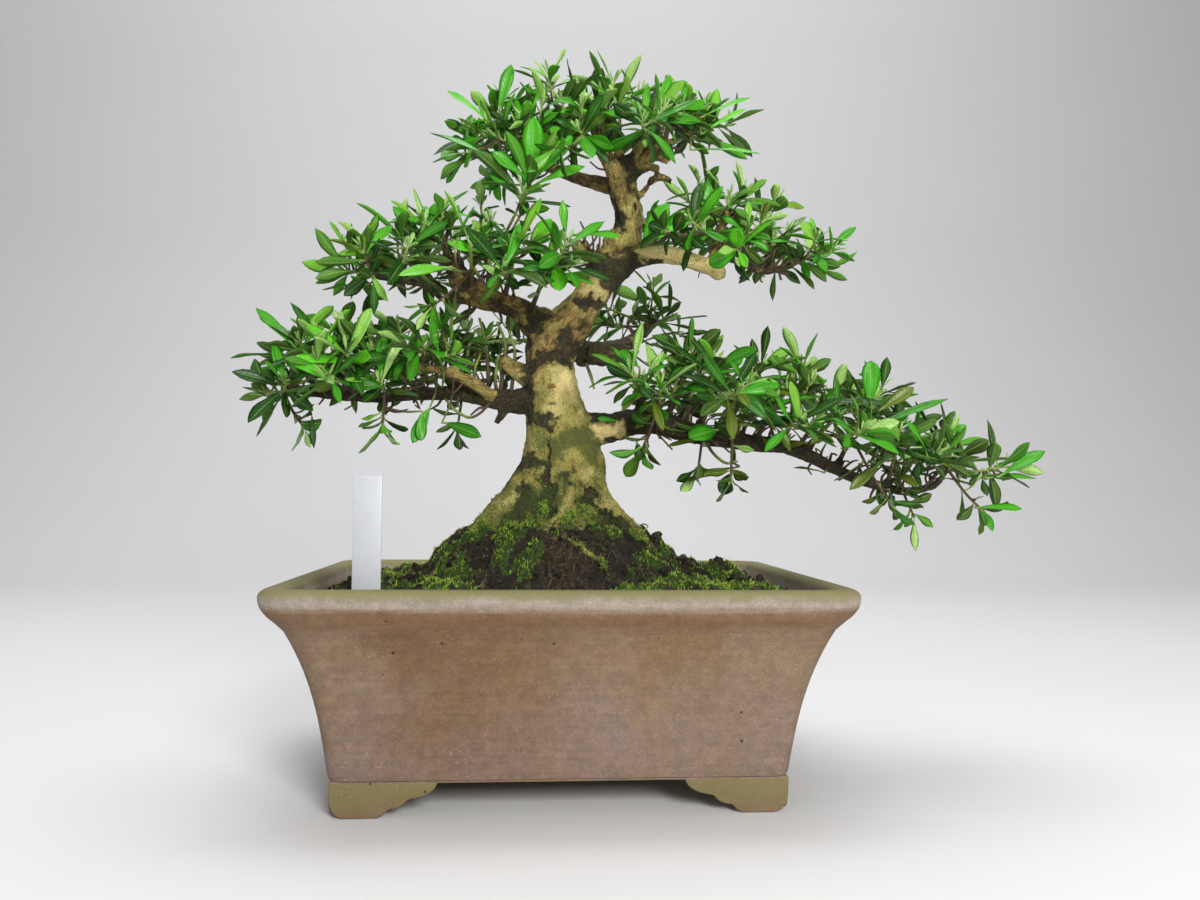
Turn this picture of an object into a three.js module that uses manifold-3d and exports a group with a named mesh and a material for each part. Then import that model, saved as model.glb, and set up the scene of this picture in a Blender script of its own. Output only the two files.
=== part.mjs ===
// A satsuki azalea bonsai in its footed stoneware pot, as named solids.
// Millimetres, +Z up, +X to the right of the front view, -Y towards the viewer.
// The plan below has its origin under the middle of the pot; the last section moves it under the middle of the whole.
import * as THREE from "three";
import { mergeVertices } from "three/addons/utils/BufferGeometryUtils.js";
import Module from "manifold-3d";

const GAP = 0.3; // what touching pieces keep between their meshes

// ---------------------------------------------------------------- driving sizes

const pot = {
  height: 120.5,
  footHeight: 17.8,
  baseHalfX: 122.5,
  baseHalfY: 88,
  baseCorner: 9,
  lean: 14, // how far the wall leans out beyond the base,
  curl: 18.5, // and how much further it curls out to the lip
  wall: 9,
  floor: 9,
  lipWidth: 13,
  outsideHeights: [45, 62, 78, 90, 98],
  insideHeights: [50, 70, 85, 97, 107.5],
  innerRound: { rise: 4, run: 3 }, // between the inside of the wall and the floor
  drainRadius: 14,
  drainX: 62,
  wireRadius: 3,
  wireX: 22,
  footInset: 1,
  footThickness: 14,
  legAlongX: 57,
  legAlongY: 46,
};

const soil = { level: 109, moundRise: 30, moundX: 84, moundY: 64 };

const label = { width: 15, thickness: 1.2, top: 178, tip: 80, point: 10, x: -104, y: -86 };

const screen = { side: 38, bar: 2, thickness: 1, bars: 3 };

const leaf = {
  shortest: 22,
  longest: 34,
  width: 8.8,
  thickness: 1,
  fold: 0.16, // how high the edges stand over the midrib, as a share of the width
  stations: [
    { at: 0.36, width: 0.66 },
    { at: 0.68, width: 1 },
  ],
  leastArch: 0.04, // how far the tip droops, as a share of the length
  mostArch: 0.2,
};

// The leaves round the end of a shoot. Angles are in degrees.
const rosette = {
  count: 9,
  step: 1.2, // along the shoot from one leaf to the next
  lift: new THREE.Vector3(0, 0, 0.55), // how its axis turns up from the shoot to the light
  goldenTurn: 137.5,
  turnWander: 30,
  turnPerShoot: 50,
  youngestSpread: 28, // between the youngest leaf and the axis,
  oldestSpread: 80, // and the oldest
  spreadWander: 16,
};

const stub = { length: 4, footRadius: 2.6, endRadius: 2.4, mostOfBranch: 0.7 };

const twig = {
  footRadius: 1.6,
  forkRadius: 1.4,
  sideRadius: 0.9,
  tipRadius: 1,
  forkAt: 0.4,
  sag: new THREE.Vector3(0, 0, -2),
};

// Each branch of the wood: x, y, z of its centre line and its radius there.
const branches = {
  trunkUpper: [
    [-8, 0, 248, 14],
    [-5, 0, 262, 17],
    [6, -2, 277, 13],
    [16, -3, 291, 10],
    [26, -4, 307, 12],
    [35, -5, 318, 13],
    [40, -6, 330, 9.5],
    [41, -7, 347, 8.3],
    [37, -8, 363, 9],
    [39, -9, 373, 8],
    [35, -9, 380, 4.5],
  ],
  lowerRight: [
    [16, 0, 209, 11],
    [32, -4, 211, 9],
    [45, -8, 214, 8],
    [59, -11, 214, 7],
    [73, -13, 209, 6.5],
    [102, -15, 204, 5.6],
    [123, -14, 201, 5],
    [144, -12, 199, 4.5],
    [180, -9, 183, 3.6],
    [216, -7, 173, 2.8],
    [238, -6, 176, 2.2],
  ],
  lowerLeft: [
    [-13, 0, 228, 9],
    [-29, 4, 227, 7.5],
    [-44, 7, 229, 6.2],
    [-63, 8, 232, 4.7],
    [-86, 6, 231, 3.8],
    [-112, 2, 228, 3.2],
    [-136, -2, 228, 2.7],
    [-156, -5, 230, 2.2],
  ],
  lowerLeftPale: [
    [-43, 3, 230, 4],
    [-56, -6, 238, 3.7],
    [-72, -14, 243, 2.8],
    [-86, -20, 245, 2.2],
  ],
  midLeft: [
    [-10, 0, 269, 11],
    [-22, -8, 280, 8],
    [-35, -13, 285, 6.1],
    [-50, -18, 286, 5.2],
    [-61, -21, 288, 4.6],
  ],
  midLeftStub: [
    [-58, -20, 286, 4.4],
    [-65, -23, 297, 4.1],
    [-68, -24, 308, 3.6],
  ],
  midLeftDark: [
    [-57, -20, 287, 4],
    [-70, -25, 286, 3.4],
    [-82, -29, 293, 2.9],
    [-97, -31, 295, 2.5],
    [-110, -32, 296, 2.1],
  ],
  midRight: [
    [31, -5, 313, 9],
    [49, -10, 318, 6],
    [68, -15, 318, 5.2],
    [85, -18, 312, 4.7],
    [95, -19, 308, 4.3],
  ],
  midRightStub: [
    [91, -18, 311, 3.6],
    [97, -18, 327, 2.9],
    [99, -18, 340, 2.5],
  ],
  midRightDark: [
    [90, -18, 312, 3.5],
    [106, -12, 318, 3],
    [125, -6, 312, 2.6],
    [142, -2, 315, 2.2],
  ],
  upLeftStub: [
    [26, -5, 309, 6.3],
    [16, -9, 318, 4.7],
    [7, -12, 325, 3.7],
  ],
  backRight: [
    [12, 4, 258, 8],
    [34, 26, 264, 6.4],
    [50, 44, 274, 4.4],
    [58, 56, 284, 3.2],
  ],
  apexFront: [
    [38, -8, 346, 5],
    [30, -17, 366, 3.6],
    [21, -20, 381, 3.1],
    [8, -24, 388, 2.5],
  ],
  apexLeft: [
    [34, -6, 362, 5.4],
    [14, 4, 370, 4.3],
    [-2, 9, 377, 3.6],
    [-14, 12, 381, 3],
    [-31, 14, 384, 2.3],
  ],
  apexRight: [
    [38, -8, 370, 6.3],
    [52, -2, 384, 4],
    [66, 4, 395, 2.8],
  ],
};

// Each spray leaves a branch at a place counted along its points, and its shoots end at these tips.
const sprays = {
  lower_right: [
    { on: "lowerRight", at: 3.0, tips: [[57, -42, 232], [38, -58, 238], [47, -30, 194]] },
    { on: "lowerRight", at: 3.5, tips: [[71, -18, 242], [82, -4, 260]] },
    { on: "lowerRight", at: 3.8, tips: [[97, 40, 250], [72, 50, 240]] },
    { on: "lowerRight", at: 4.4, tips: [[89, -46, 245], [96, -68, 226], [82, -26, 180]] },
    { on: "lowerRight", at: 4.9, tips: [[112, -14, 242], [131, 12, 254], [100, -38, 176]] },
    { on: "lowerRight", at: 5.2, tips: [[126, 42, 234], [158, 58, 243]] },
    { on: "lowerRight", at: 5.8, tips: [[127, -42, 223], [134, -62, 210]] },
    { on: "lowerRight", at: 6.7, tips: [[158, -6, 240], [160, 22, 254]] },
    { on: "lowerRight", at: 7.1, tips: [[185, 36, 234], [208, 54, 233]] },
    { on: "lowerRight", at: 7.2, tips: [[164, -36, 216], [173, -56, 207]] },
    { on: "lowerRight", at: 7.8, tips: [[195, -6, 228], [212, 14, 240], [202, -30, 162]] },
    { on: "lowerRight", at: 8.3, tips: [[225, 12, 216], [242, 32, 208]] },
    { on: "lowerRight", at: 8.7, tips: [[207, -28, 204], [224, -38, 194], [226, -4, 156]] },
    { on: "lowerRight", at: 10, tips: [[253, -10, 195], [284, -4, 189], [271, -6, 160], [246, 6, 206]] },
  ],
  lower_left: [
    { on: "lowerLeft", at: 6.7, tips: [[-158, -14, 260], [-174, 4, 254]] },
    { on: "lowerLeft", at: 6.2, tips: [[-142, -30, 258], [-134, -6, 268]] },
    { on: "lowerLeft", at: 7, tips: [[-178, -8, 229], [-162, -28, 233], [-156, -4, 208]] },
    { on: "lowerLeft", at: 5.6, tips: [[-124, -44, 248], [-133, -56, 232]] },
    { on: "lowerLeft", at: 5.4, tips: [[-145, 36, 252], [-166, 48, 247]] },
    { on: "lowerLeft", at: 4.8, tips: [[-106, -36, 232], [-113, -24, 250], [-122, 14, 265], [-108, -14, 206]] },
    { on: "lowerLeft", at: 4.0, tips: [[-112, 44, 252], [-92, 58, 256]] },
    { on: "lowerLeftPale", at: 3, tips: [[-93, -32, 256], [-78, -46, 254]] },
    { on: "lowerLeftPale", at: 1.5, tips: [[-73, -18, 266], [-58, -6, 268]] },
    { on: "lowerLeft", at: 2.5, tips: [[-70, 44, 260], [-52, 60, 269], [-66, 22, 208]] },
    { on: "lowerLeft", at: 1.4, tips: [[-40, 38, 262], [-33, 54, 280]] },
  ],
  mid_left: [
    { on: "midLeftDark", at: 4, tips: [[-118, -38, 310], [-130, -20, 300], [-110, -46, 292]] },
    { on: "midLeftDark", at: 3.0, tips: [[-91, -46, 310], [-97, -24, 322]] },
    { on: "midLeftDark", at: 2.2, tips: [[-88, 12, 314], [-107, 28, 318]] },
    { on: "midLeftStub", at: 1.6, tips: [[-74, -16, 328], [-82, -40, 327]] },
    { on: "midLeft", at: 3.4, tips: [[-54, -58, 311], [-64, -70, 294], [-78, -44, 276]] },
    { on: "midLeft", at: 2.7, tips: [[-44, -32, 329], [-51, -12, 346], [-20, -44, 353], [-26, -12, 342]] },
    { on: "midLeft", at: 2.1, tips: [[-28, -60, 309], [-36, -74, 292]] },
    { on: "midLeft", at: 2.4, tips: [[-63, 34, 327], [-44, 50, 338], [-22, 42, 332]] },
    { on: "midLeft", at: 0.9, tips: [[-10, -54, 299], [0, -68, 309]] },
  ],
  mid_right: [
    { on: "midRightStub", at: 2, tips: [[102, -22, 350], [84, -2, 354]] },
    { on: "midRightStub", at: 0.9, tips: [[74, -48, 330], [56, -60, 320]] },
    { on: "midRightDark", at: 1.2, tips: [[113, -30, 333], [101, -48, 314]] },
    { on: "midRightDark", at: 2.4, tips: [[134, -6, 336], [130, 12, 354]] },
    { on: "midRightDark", at: 3, tips: [[158, -4, 322], [156, -24, 327]] },
    { on: "midRightDark", at: 1.8, tips: [[146, 32, 332], [130, 46, 341]] },
    { on: "midRight", at: 2.4, tips: [[94, 34, 350], [110, 54, 346], [62, 26, 346]] },
  ],
  back: [{ on: "backRight", at: 3, tips: [[78, 62, 292], [62, 78, 306], [40, 74, 290], [30, 58, 300]] }],
  apex: [
    { on: "apexLeft", at: 4, tips: [[-66, 12, 386], [-56, -6, 394]] },
    { on: "apexLeft", at: 3.2, tips: [[-37, -8, 400], [-44, 10, 412]] },
    { on: "apexLeft", at: 2.4, tips: [[-24, -36, 390], [-40, -30, 382]] },
    { on: "apexFront", at: 3, tips: [[-2, -26, 406], [-12, -10, 420]] },
    { on: "apexFront", at: 2.3, tips: [[8, -46, 382], [-7, -62, 366]] },
    { on: "apexFront", at: 1.6, tips: [[22, -34, 402], [28, -14, 418]] },
    { on: "apexLeft", at: 2.2, tips: [[-21, 40, 416], [-38, 54, 408], [-45, 34, 386]] },
    { on: "trunkUpper", at: 10, tips: [[36, 2, 422], [26, 34, 428], [6, 50, 422]] },
    { on: "apexRight", at: 1.0, tips: [[53, -38, 400], [44, -56, 384]] },
    { on: "apexRight", at: 1.9, tips: [[71, 0, 420], [82, -14, 408], [92, 8, 402], [109, 18, 414]] },
    { on: "apexRight", at: 1.4, tips: [[63, 38, 420], [88, 52, 418]] },
  ],
};

// ---------------------------------------------------------------- solids

const wasm = await Module();
wasm.setup();

/** A closed three.js geometry as a manifold-3d solid. */
function solidOf(geometry) {
  const bare = new THREE.BufferGeometry().setAttribute("position", geometry.getAttribute("position"));
  if (geometry.index) bare.setIndex(geometry.index);
  const merged = mergeVertices(bare, 1e-3);
  return new wasm.Manifold(
    new wasm.Mesh({
      numProp: 3,
      vertProperties: merged.getAttribute("position").array,
      triVerts: new Uint32Array(merged.index.array),
    }),
  );
}

/** A manifold-3d solid as a three.js geometry. */
function geometryOf(solid) {
  const { numProp, numVert, vertProperties, triVerts } = solid.getMesh();
  const positions = new Float32Array(numVert * 3);
  for (let v = 0; v < numVert; v++) {
    positions.set(vertProperties.subarray(v * numProp, v * numProp + 3), v * 3);
  }
  return new THREE.BufferGeometry()
    .setAttribute("position", new THREE.BufferAttribute(positions, 3))
    .setIndex(new THREE.BufferAttribute(triVerts, 1));
}

/** Skins a row of rings, each run anticlockwise as seen from the head, and closes it at a tail and a head point. */
function loft(rings, tail, head) {
  const around = rings[0].length;
  const points = [...rings.flat(), tail, head];
  const tailIndex = points.length - 2;
  const headIndex = points.length - 1;
  const lastRing = (rings.length - 1) * around;
  const faces = [];
  for (let i = 0; i < around; i++) {
    const next = (i + 1) % around;
    faces.push(tailIndex, next, i, headIndex, lastRing + i, lastRing + next);
    for (let ring = 0; ring < lastRing; ring += around) {
      faces.push(ring + i, ring + next, ring + around + next);
      faces.push(ring + i, ring + around + next, ring + around + i);
    }
  }
  const geometry = new THREE.BufferGeometry().setFromPoints(points).setIndex(faces);
  return solidOf(geometry);
}

/** A solid turned and moved by a three.js matrix. */
function placed(geometry, matrix) {
  return solidOf(geometry.clone().applyMatrix4(matrix));
}

const unite = (solids) => solids.reduce((whole, solid) => whole.add(solid));

// ---------------------------------------------------------------- tubes

/** Any unit vector square to a direction, leaning towards the viewer. */
function squareTo(direction) {
  const side = new THREE.Vector3(0, -1, 0).addScaledVector(direction, direction.y);
  if (side.length() < 0.2) side.set(1, 0, 0).addScaledVector(direction, -direction.x);
  return side.normalize();
}

/** A round tapering tube along a curve; radii are spread evenly over its length. */
function tube(curve, radii, sides, steps) {
  const side = squareTo(curve.getTangent(0));
  const rings = [];
  for (let step = 0; step <= steps; step++) {
    const u = step / steps;
    const centre = curve.getPoint(u);
    const along = curve.getTangent(u);
    side.addScaledVector(along, -side.dot(along)).normalize();
    const other = along.clone().cross(side);
    const place = u * (radii.length - 1);
    const before = Math.min(Math.floor(place), radii.length - 2);
    const radius = THREE.MathUtils.lerp(radii[before], radii[before + 1], place - before);
    rings.push(
      Array.from({ length: sides }, (_, i) => {
        const angle = (i / sides) * 2 * Math.PI;
        return centre
          .clone()
          .addScaledVector(side, radius * Math.cos(angle))
          .addScaledVector(other, radius * Math.sin(angle));
      }),
    );
  }
  return loft(rings, curve.getPoint(0), curve.getPoint(1));
}

const curveThrough = (points) => new THREE.CatmullRomCurve3(points, false, "catmullrom", 0.5);

// ---------------------------------------------------------------- pot

/** A ring of a rectangle with round corners at one height, anticlockwise from above. */
function roundedRing(halfX, halfY, corner, z, arcSteps = 3) {
  const ring = [];
  const quarters = [[1, 1], [-1, 1], [-1, -1], [1, -1]];
  quarters.forEach(([sideX, sideY], quarter) => {
    for (let step = 0; step <= arcSteps; step++) {
      const angle = ((quarter + step / arcSteps) * Math.PI) / 2;
      ring.push(
        new THREE.Vector3(
          sideX * (halfX - corner) + corner * Math.cos(angle),
          sideY * (halfY - corner) + corner * Math.sin(angle),
          z,
        ),
      );
    }
  });
  return ring;
}

const lipOut = pot.lean + pot.curl;
const lipMiddle = pot.height - 4; // the height at which the lip stands out furthest
const insideFloor = pot.footHeight + pot.floor;
const CORNER_GAIN = 0.3; // how much a corner's radius grows with each mm that the wall stands out

// The outside of the rolled lip: how far below the rim, and how far short of the lip's outermost line.
const lipProfile = [
  { down: 17, short: 6.5 },
  { down: 12, short: 2.2 },
  { down: 8, short: 0.4 },
  { down: 4, short: 0 },
  { down: 1.4, short: 1.4 },
  { down: 0, short: 4.2 },
];

// The mouth inside the lip: how far below the rim, and how far it opens out. The last ring stands clear above.
const mouthProfile = [
  { down: 4, open: 0 },
  { down: 1.2, open: 1.6 },
  { down: 0, open: 4.5 },
  { down: -5, open: 4.5 },
];

/** How far the concave wall stands out beyond the base at a height. */
function wallFlare(z) {
  const rise = THREE.MathUtils.clamp((z - pot.footHeight) / (lipMiddle - pot.footHeight), 0, 1);
  return pot.lean * rise + pot.curl * rise ** 3;
}

/** A ring of the pot standing out beyond the base outline by a distance. */
function potRing(z, out) {
  const corner = Math.max(pot.baseCorner + out * CORNER_GAIN, 2);
  return roundedRing(pot.baseHalfX + out, pot.baseHalfY + out, corner, z);
}

function loftUp(rings) {
  const middle = (ring) => new THREE.Vector3(0, 0, ring[0].z);
  return loft(rings, middle(rings[0]), middle(rings.at(-1)));
}

/** The inside of the pot, shrunk by a clearance. */
function potInside(clearance) {
  const floorZ = insideFloor + clearance;
  const wallHeights = [floorZ + pot.innerRound.rise, ...pot.insideHeights];
  const lipInside = lipOut - pot.lipWidth;
  return loftUp([
    potRing(floorZ, -pot.wall - pot.innerRound.run - clearance),
    ...wallHeights.map((z) => potRing(z, wallFlare(z) - pot.wall - clearance)),
    ...mouthProfile.map(({ down, open }) => potRing(pot.height - down, lipInside + open - clearance)),
  ]);
}

// The cloud-shaped underside of a foot's leg after its flat sole: the pull and the end of each scallop,
// as a share of the leg's length and a height.
const SOLE_SHARE = 0.42;
const footScallops = [
  { pull: [0.5, 0.5], end: [0.54, 4.5] },
  { pull: [0.66, 4], end: [0.72, 9.5] },
  { pull: [0.88, 10], end: [0.96, 14.5] },
];

/** One leg of a foot as a plate: its own x runs from the heel at the pot's corner, and its y is up. */
function footLeg(length) {
  const top = pot.footHeight + 1;
  const outline = new THREE.Shape();
  outline.moveTo(0, top);
  outline.lineTo(0.5, 8);
  outline.quadraticCurveTo(2, 0, 9, 0);
  outline.lineTo(length * SOLE_SHARE, 0);
  for (const { pull, end } of footScallops) {
    outline.quadraticCurveTo(length * pull[0], pull[1], length * end[0], end[1]);
  }
  outline.lineTo(length, top);
  return new THREE.ExtrudeGeometry(outline, {
    depth: pot.footThickness,
    bevelEnabled: false,
    curveSegments: 2,
  });
}

/** The four corner feet, each two legs at right angles whose thickness is laid to the inside. */
function feet() {
  const outerX = pot.baseHalfX - pot.footInset;
  const outerY = pot.baseHalfY - pot.footInset;
  const up = new THREE.Vector3(0, 0, 1);
  const legs = [];
  for (const sideX of [1, -1]) {
    for (const sideY of [1, -1]) {
      const sameSide = sideX === sideY;
      const startY = sideY * outerY - (sameSide ? sideX * pot.footThickness : 0);
      const legX = new THREE.Matrix4()
        .makeBasis(new THREE.Vector3(-sideX, 0, 0), up, new THREE.Vector3(0, sideX, 0))
        .setPosition(sideX * outerX, startY, 0);
      const startX = sideX * outerX + (sameSide ? 0 : sideY * pot.footThickness);
      const legY = new THREE.Matrix4()
        .makeBasis(new THREE.Vector3(0, -sideY, 0), up, new THREE.Vector3(-sideY, 0, 0))
        .setPosition(startX, sideY * outerY, 0);
      legs.push(placed(footLeg(pot.legAlongX), legX), placed(footLeg(pot.legAlongY), legY));
    }
  }
  return unite(legs);
}

/** An upright hole cutter through the pot's floor. */
function floorCutter(radius, x, sides) {
  const depth = pot.floor * 3;
  const cylinder = new THREE.CylinderGeometry(radius, radius, depth, sides);
  const matrix = new THREE.Matrix4().makeRotationX(Math.PI / 2).setPosition(x, 0, insideFloor - pot.floor / 2);
  return placed(cylinder, matrix);
}

function makePot() {
  const outside = loftUp([
    potRing(pot.footHeight, -1.2),
    potRing(pot.footHeight + 1.6, 0),
    ...pot.outsideHeights.map((z) => potRing(z, wallFlare(z))),
    ...lipProfile.map(({ down, short }) => potRing(pot.height - down, lipOut - short)),
  ]);
  const cutters = [potInside(0)];
  for (const side of [1, -1]) {
    cutters.push(floorCutter(pot.drainRadius, side * pot.drainX, 12));
    cutters.push(floorCutter(pot.wireRadius, side * pot.wireX, 6));
  }
  return outside.add(feet()).subtract(unite(cutters));
}

// ---------------------------------------------------------------- trunk foot

// Root ridges: the compass angle in degrees, how far each stands out at the ground, and how wide it is.
const rootRidges = [
  { angle: 196, out: 0.38, spread: 20 },
  { angle: 242, out: 0.26, spread: 15 },
  { angle: 280, out: 0.36, spread: 15 },
  { angle: 322, out: 0.34, spread: 16 },
  { angle: 2, out: 0.34, spread: 20 },
  { angle: 60, out: 0.3, spread: 18 },
  { angle: 122, out: 0.36, spread: 18 },
];

// The trunk below the elbow: height, middle x, half width, half depth.
const trunkSections = [
  [98, -2, 50, 38],
  [114, -2, 54, 42],
  [128, -3, 51, 41],
  [140, -3, 46, 38],
  [151, -3, 41, 35],
  [162, -3.5, 35.5, 31],
  [174, -2, 30.5, 28],
  [190, 2, 25.5, 25],
  [206, 1, 22, 21],
  [220, -2.5, 19, 18.5],
  [236, -6, 16, 16],
  [258, -7, 13.5, 13.5],
];

const RIDGE_TOP = 200; // the height at which the root ridges begin,
const RIDGE_DROP = 70; // and how far below it they are full
const HOLLOW = 0.18; // how far the trunk draws in between full ridges
const TRUNK_AROUND = 20;

/** A ring of the trunk, with its root ridges growing towards the ground. */
function trunkRing([z, middleX, halfX, halfY], clearance) {
  const grip = THREE.MathUtils.clamp((RIDGE_TOP - z) / RIDGE_DROP, 0, 1) ** 1.4;
  return Array.from({ length: TRUNK_AROUND }, (_, i) => {
    const angle = (i / TRUNK_AROUND) * 360;
    let swell = 1 - HOLLOW * grip;
    for (const ridge of rootRidges) {
      const off = Math.abs(((angle - ridge.angle + 540) % 360) - 180) / ridge.spread;
      swell += ridge.out * grip * Math.exp(-off * off);
    }
    const turn = THREE.MathUtils.degToRad(angle);
    return new THREE.Vector3(
      middleX + (halfX * swell + clearance) * Math.cos(turn),
      (halfY * swell + clearance) * Math.sin(turn),
      z,
    );
  });
}

function trunkFoot(clearance) {
  const rings = trunkSections.map((section) => trunkRing(section, clearance));
  const middle = ([z, x]) => new THREE.Vector3(x, 0, z);
  return loft(rings, middle(trunkSections[0]), middle(trunkSections.at(-1)));
}

// ---------------------------------------------------------------- wood and sprays

const toVector = ([x, y, z]) => new THREE.Vector3(x, y, z);

const branchCurves = Object.fromEntries(
  Object.entries(branches).map(([name, rows]) => [name, curveThrough(rows.map(toVector))]),
);

function branchRadiusAt(name, at) {
  const rows = branches[name];
  const before = Math.min(Math.floor(at), rows.length - 2);
  return THREE.MathUtils.lerp(rows[before][3], rows[before + 1][3], at - before);
}

/** A spray's brown stub on the wood and the route of each of its shoots, worked out from its row. */
function sprayPlan(row) {
  const tips = row.tips.map(toVector);
  const foot = branchCurves[row.on].getPoint(row.at / (branches[row.on].length - 1));
  const towards = tips[0].clone().sub(foot).normalize();
  const branchRadius = branchRadiusAt(row.on, row.at);
  const footRadius = Math.min(stub.footRadius, branchRadius * stub.mostOfBranch);
  const stubEnd = foot.clone().addScaledVector(towards, branchRadius + stub.length);
  const twigFoot = stubEnd.clone().addScaledVector(towards, GAP);
  const fork = twigFoot.clone().lerp(tips[0], twig.forkAt);
  const shoots = tips.map((tip, i) => {
    if (i === 0) return [twigFoot, fork, tip];
    return [fork, fork.clone().lerp(tip, 0.5).add(twig.sag), tip];
  });
  return { foot, footRadius, stubEnd, shoots };
}

function makeWood(plans) {
  const limbs = Object.entries(branches).map(([name, rows]) => {
    const radii = rows.map((row) => row[3]);
    const sides = radii[0] > 8 ? 8 : 5;
    return tube(branchCurves[name], radii, sides, rows.length - 1);
  });
  const stubs = plans.map(({ foot, stubEnd, footRadius }) =>
    tube(new THREE.LineCurve3(foot, stubEnd), [footRadius, stub.endRadius], 3, 1),
  );
  return unite([trunkFoot(0), ...limbs, ...stubs]);
}

/** The leafless twig of a spray, from its flat foot to each tip. */
function sprayTwig({ shoots }) {
  const [main, ...others] = shoots.map(curveThrough);
  const mainTube = tube(main, [twig.footRadius, twig.forkRadius, twig.tipRadius], 4, 2);
  return unite([mainTube, ...others.map((shoot) => tube(shoot, [twig.sideRadius, twig.sideRadius], 3, 2))]);
}

// ---------------------------------------------------------------- leaves

/** A small repeatable source of draws between 0 and 1. */
function drawsFrom(seed) {
  let state = seed >>> 0;
  return () => {
    state = (Math.imul(state, 1664525) + 1013904223) >>> 0;
    return state / 4294967296;
  };
}

/** The leaves of one shoot tip, youngest first: each one's root, direction, upper side, length and arch. */
function whorl([, bend, tip], seed) {
  const lastStretch = tip.distanceTo(bend);
  const step = Math.min(rosette.step, lastStretch / rosette.count);
  const twigEnd = tip.clone().sub(bend).normalize();
  const along = twigEnd.clone().add(rosette.lift).normalize();
  const side = squareTo(along);
  const other = along.clone().cross(side);
  const draw = drawsFrom(seed);
  draw();
  return Array.from({ length: rosette.count }, (_, i) => {
    const { goldenTurn, turnWander, turnPerShoot, youngestSpread, oldestSpread, spreadWander } = rosette;
    const turn = THREE.MathUtils.degToRad(i * goldenTurn + turnWander * draw() + seed * turnPerShoot);
    const age = i / (rosette.count - 1);
    const middleSpread = THREE.MathUtils.lerp(youngestSpread, oldestSpread, age);
    const spread = THREE.MathUtils.degToRad(middleSpread + spreadWander * (draw() - 0.5));
    const length = THREE.MathUtils.lerp(leaf.shortest, leaf.longest, draw());
    const arch = THREE.MathUtils.lerp(leaf.leastArch, leaf.mostArch, draw());
    const radial = side
      .clone()
      .multiplyScalar(Math.cos(turn))
      .addScaledVector(other, Math.sin(turn));
    const out = along.clone().multiplyScalar(Math.cos(spread)).addScaledVector(radial, Math.sin(spread));
    const up = along.clone().multiplyScalar(Math.sin(spread)).addScaledVector(radial, -Math.cos(spread));
    const root = tip.clone().addScaledVector(twigEnd, -step * (i + 0.5));
    return { root, out, up, length, arch };
  });
}

/** One leaf as a thin blade folded along its midrib, grown on every side by a clearance. */
function blade({ root, out, up, length, arch }, clearance = 0) {
  const across = out.clone().cross(up);
  const middleAt = (s) =>
    root
      .clone()
      .addScaledVector(out, length * s)
      .addScaledVector(up, -arch * length * s * s);
  const rings = leaf.stations.map(({ at, width }) => {
    const middle = middleAt(at);
    const half = (leaf.width * width) / 2 + clearance;
    const raise = leaf.width * width * leaf.fold;
    const thick = leaf.thickness / 2 + clearance;
    const edge = (sign) => middle.clone().addScaledVector(across, sign * half).addScaledVector(up, raise);
    return [edge(1), middle.clone().addScaledVector(up, -thick), edge(-1)];
  });
  return loft(rings, root, middleAt(1));
}

/** Whether two solids' boxes come near each other. */
function boxesMeet(a, b) {
  return a.min.every((low, i) => low < b.max[i] && b.min[i] < a.max[i]);
}

const cutInto = (a, b) => a.solid.intersect(b.solid).volume() > 1e-6;

const boxed = (solid) => ({ solid, box: solid.boundingBox() });
const clash = (a, b) => boxesMeet(a.box, b.box) && cutInto(a, b);

// ---------------------------------------------------------------- soil, label, screens

function soilHeight(x, y) {
  const away = (x / soil.moundX) ** 2 + (y / soil.moundY) ** 2;
  return soil.level + soil.moundRise * Math.exp(-away * away);
}

function labelPlate(clearance) {
  const half = label.width / 2 + clearance;
  const outline = new THREE.Shape();
  outline.moveTo(-half, label.top + clearance);
  outline.lineTo(-half, label.tip + label.point);
  outline.lineTo(0, label.tip - clearance * 2);
  outline.lineTo(half, label.tip + label.point);
  outline.lineTo(half, label.top + clearance);
  const depth = label.thickness + 2 * clearance;
  const plate = new THREE.ExtrudeGeometry(outline, { depth, bevelEnabled: false });
  const matrix = new THREE.Matrix4().makeRotationX(Math.PI / 2).setPosition(label.x, label.y + depth / 2, 0);
  return placed(plate, matrix);
}

function makeScreen(x) {
  const z = insideFloor + GAP + screen.thickness / 2;
  const reach = (screen.side - screen.bar) / 2;
  const bars = [];
  for (let i = 0; i < screen.bars; i++) {
    const off = THREE.MathUtils.lerp(-reach, reach, i / (screen.bars - 1));
    const alongX = new THREE.BoxGeometry(screen.side, screen.bar, screen.thickness);
    const alongY = new THREE.BoxGeometry(screen.bar, screen.side, screen.thickness);
    bars.push(placed(alongX, new THREE.Matrix4().setPosition(x, off, z)));
    bars.push(placed(alongY, new THREE.Matrix4().setPosition(x + off, 0, z)));
  }
  return unite(bars);
}

const SOIL_SHARES = [1.02, 0.88, 0.74, 0.6, 0.46, 0.3]; // rings of the soil's surface, as shares of the lip's outline
const MOUND_ROUND = 50; // the corner radius those rings tend to at the middle
const TRUNK_HOLE = 0.5; // how much wider than the trunk foot its hole in the soil is

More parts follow.
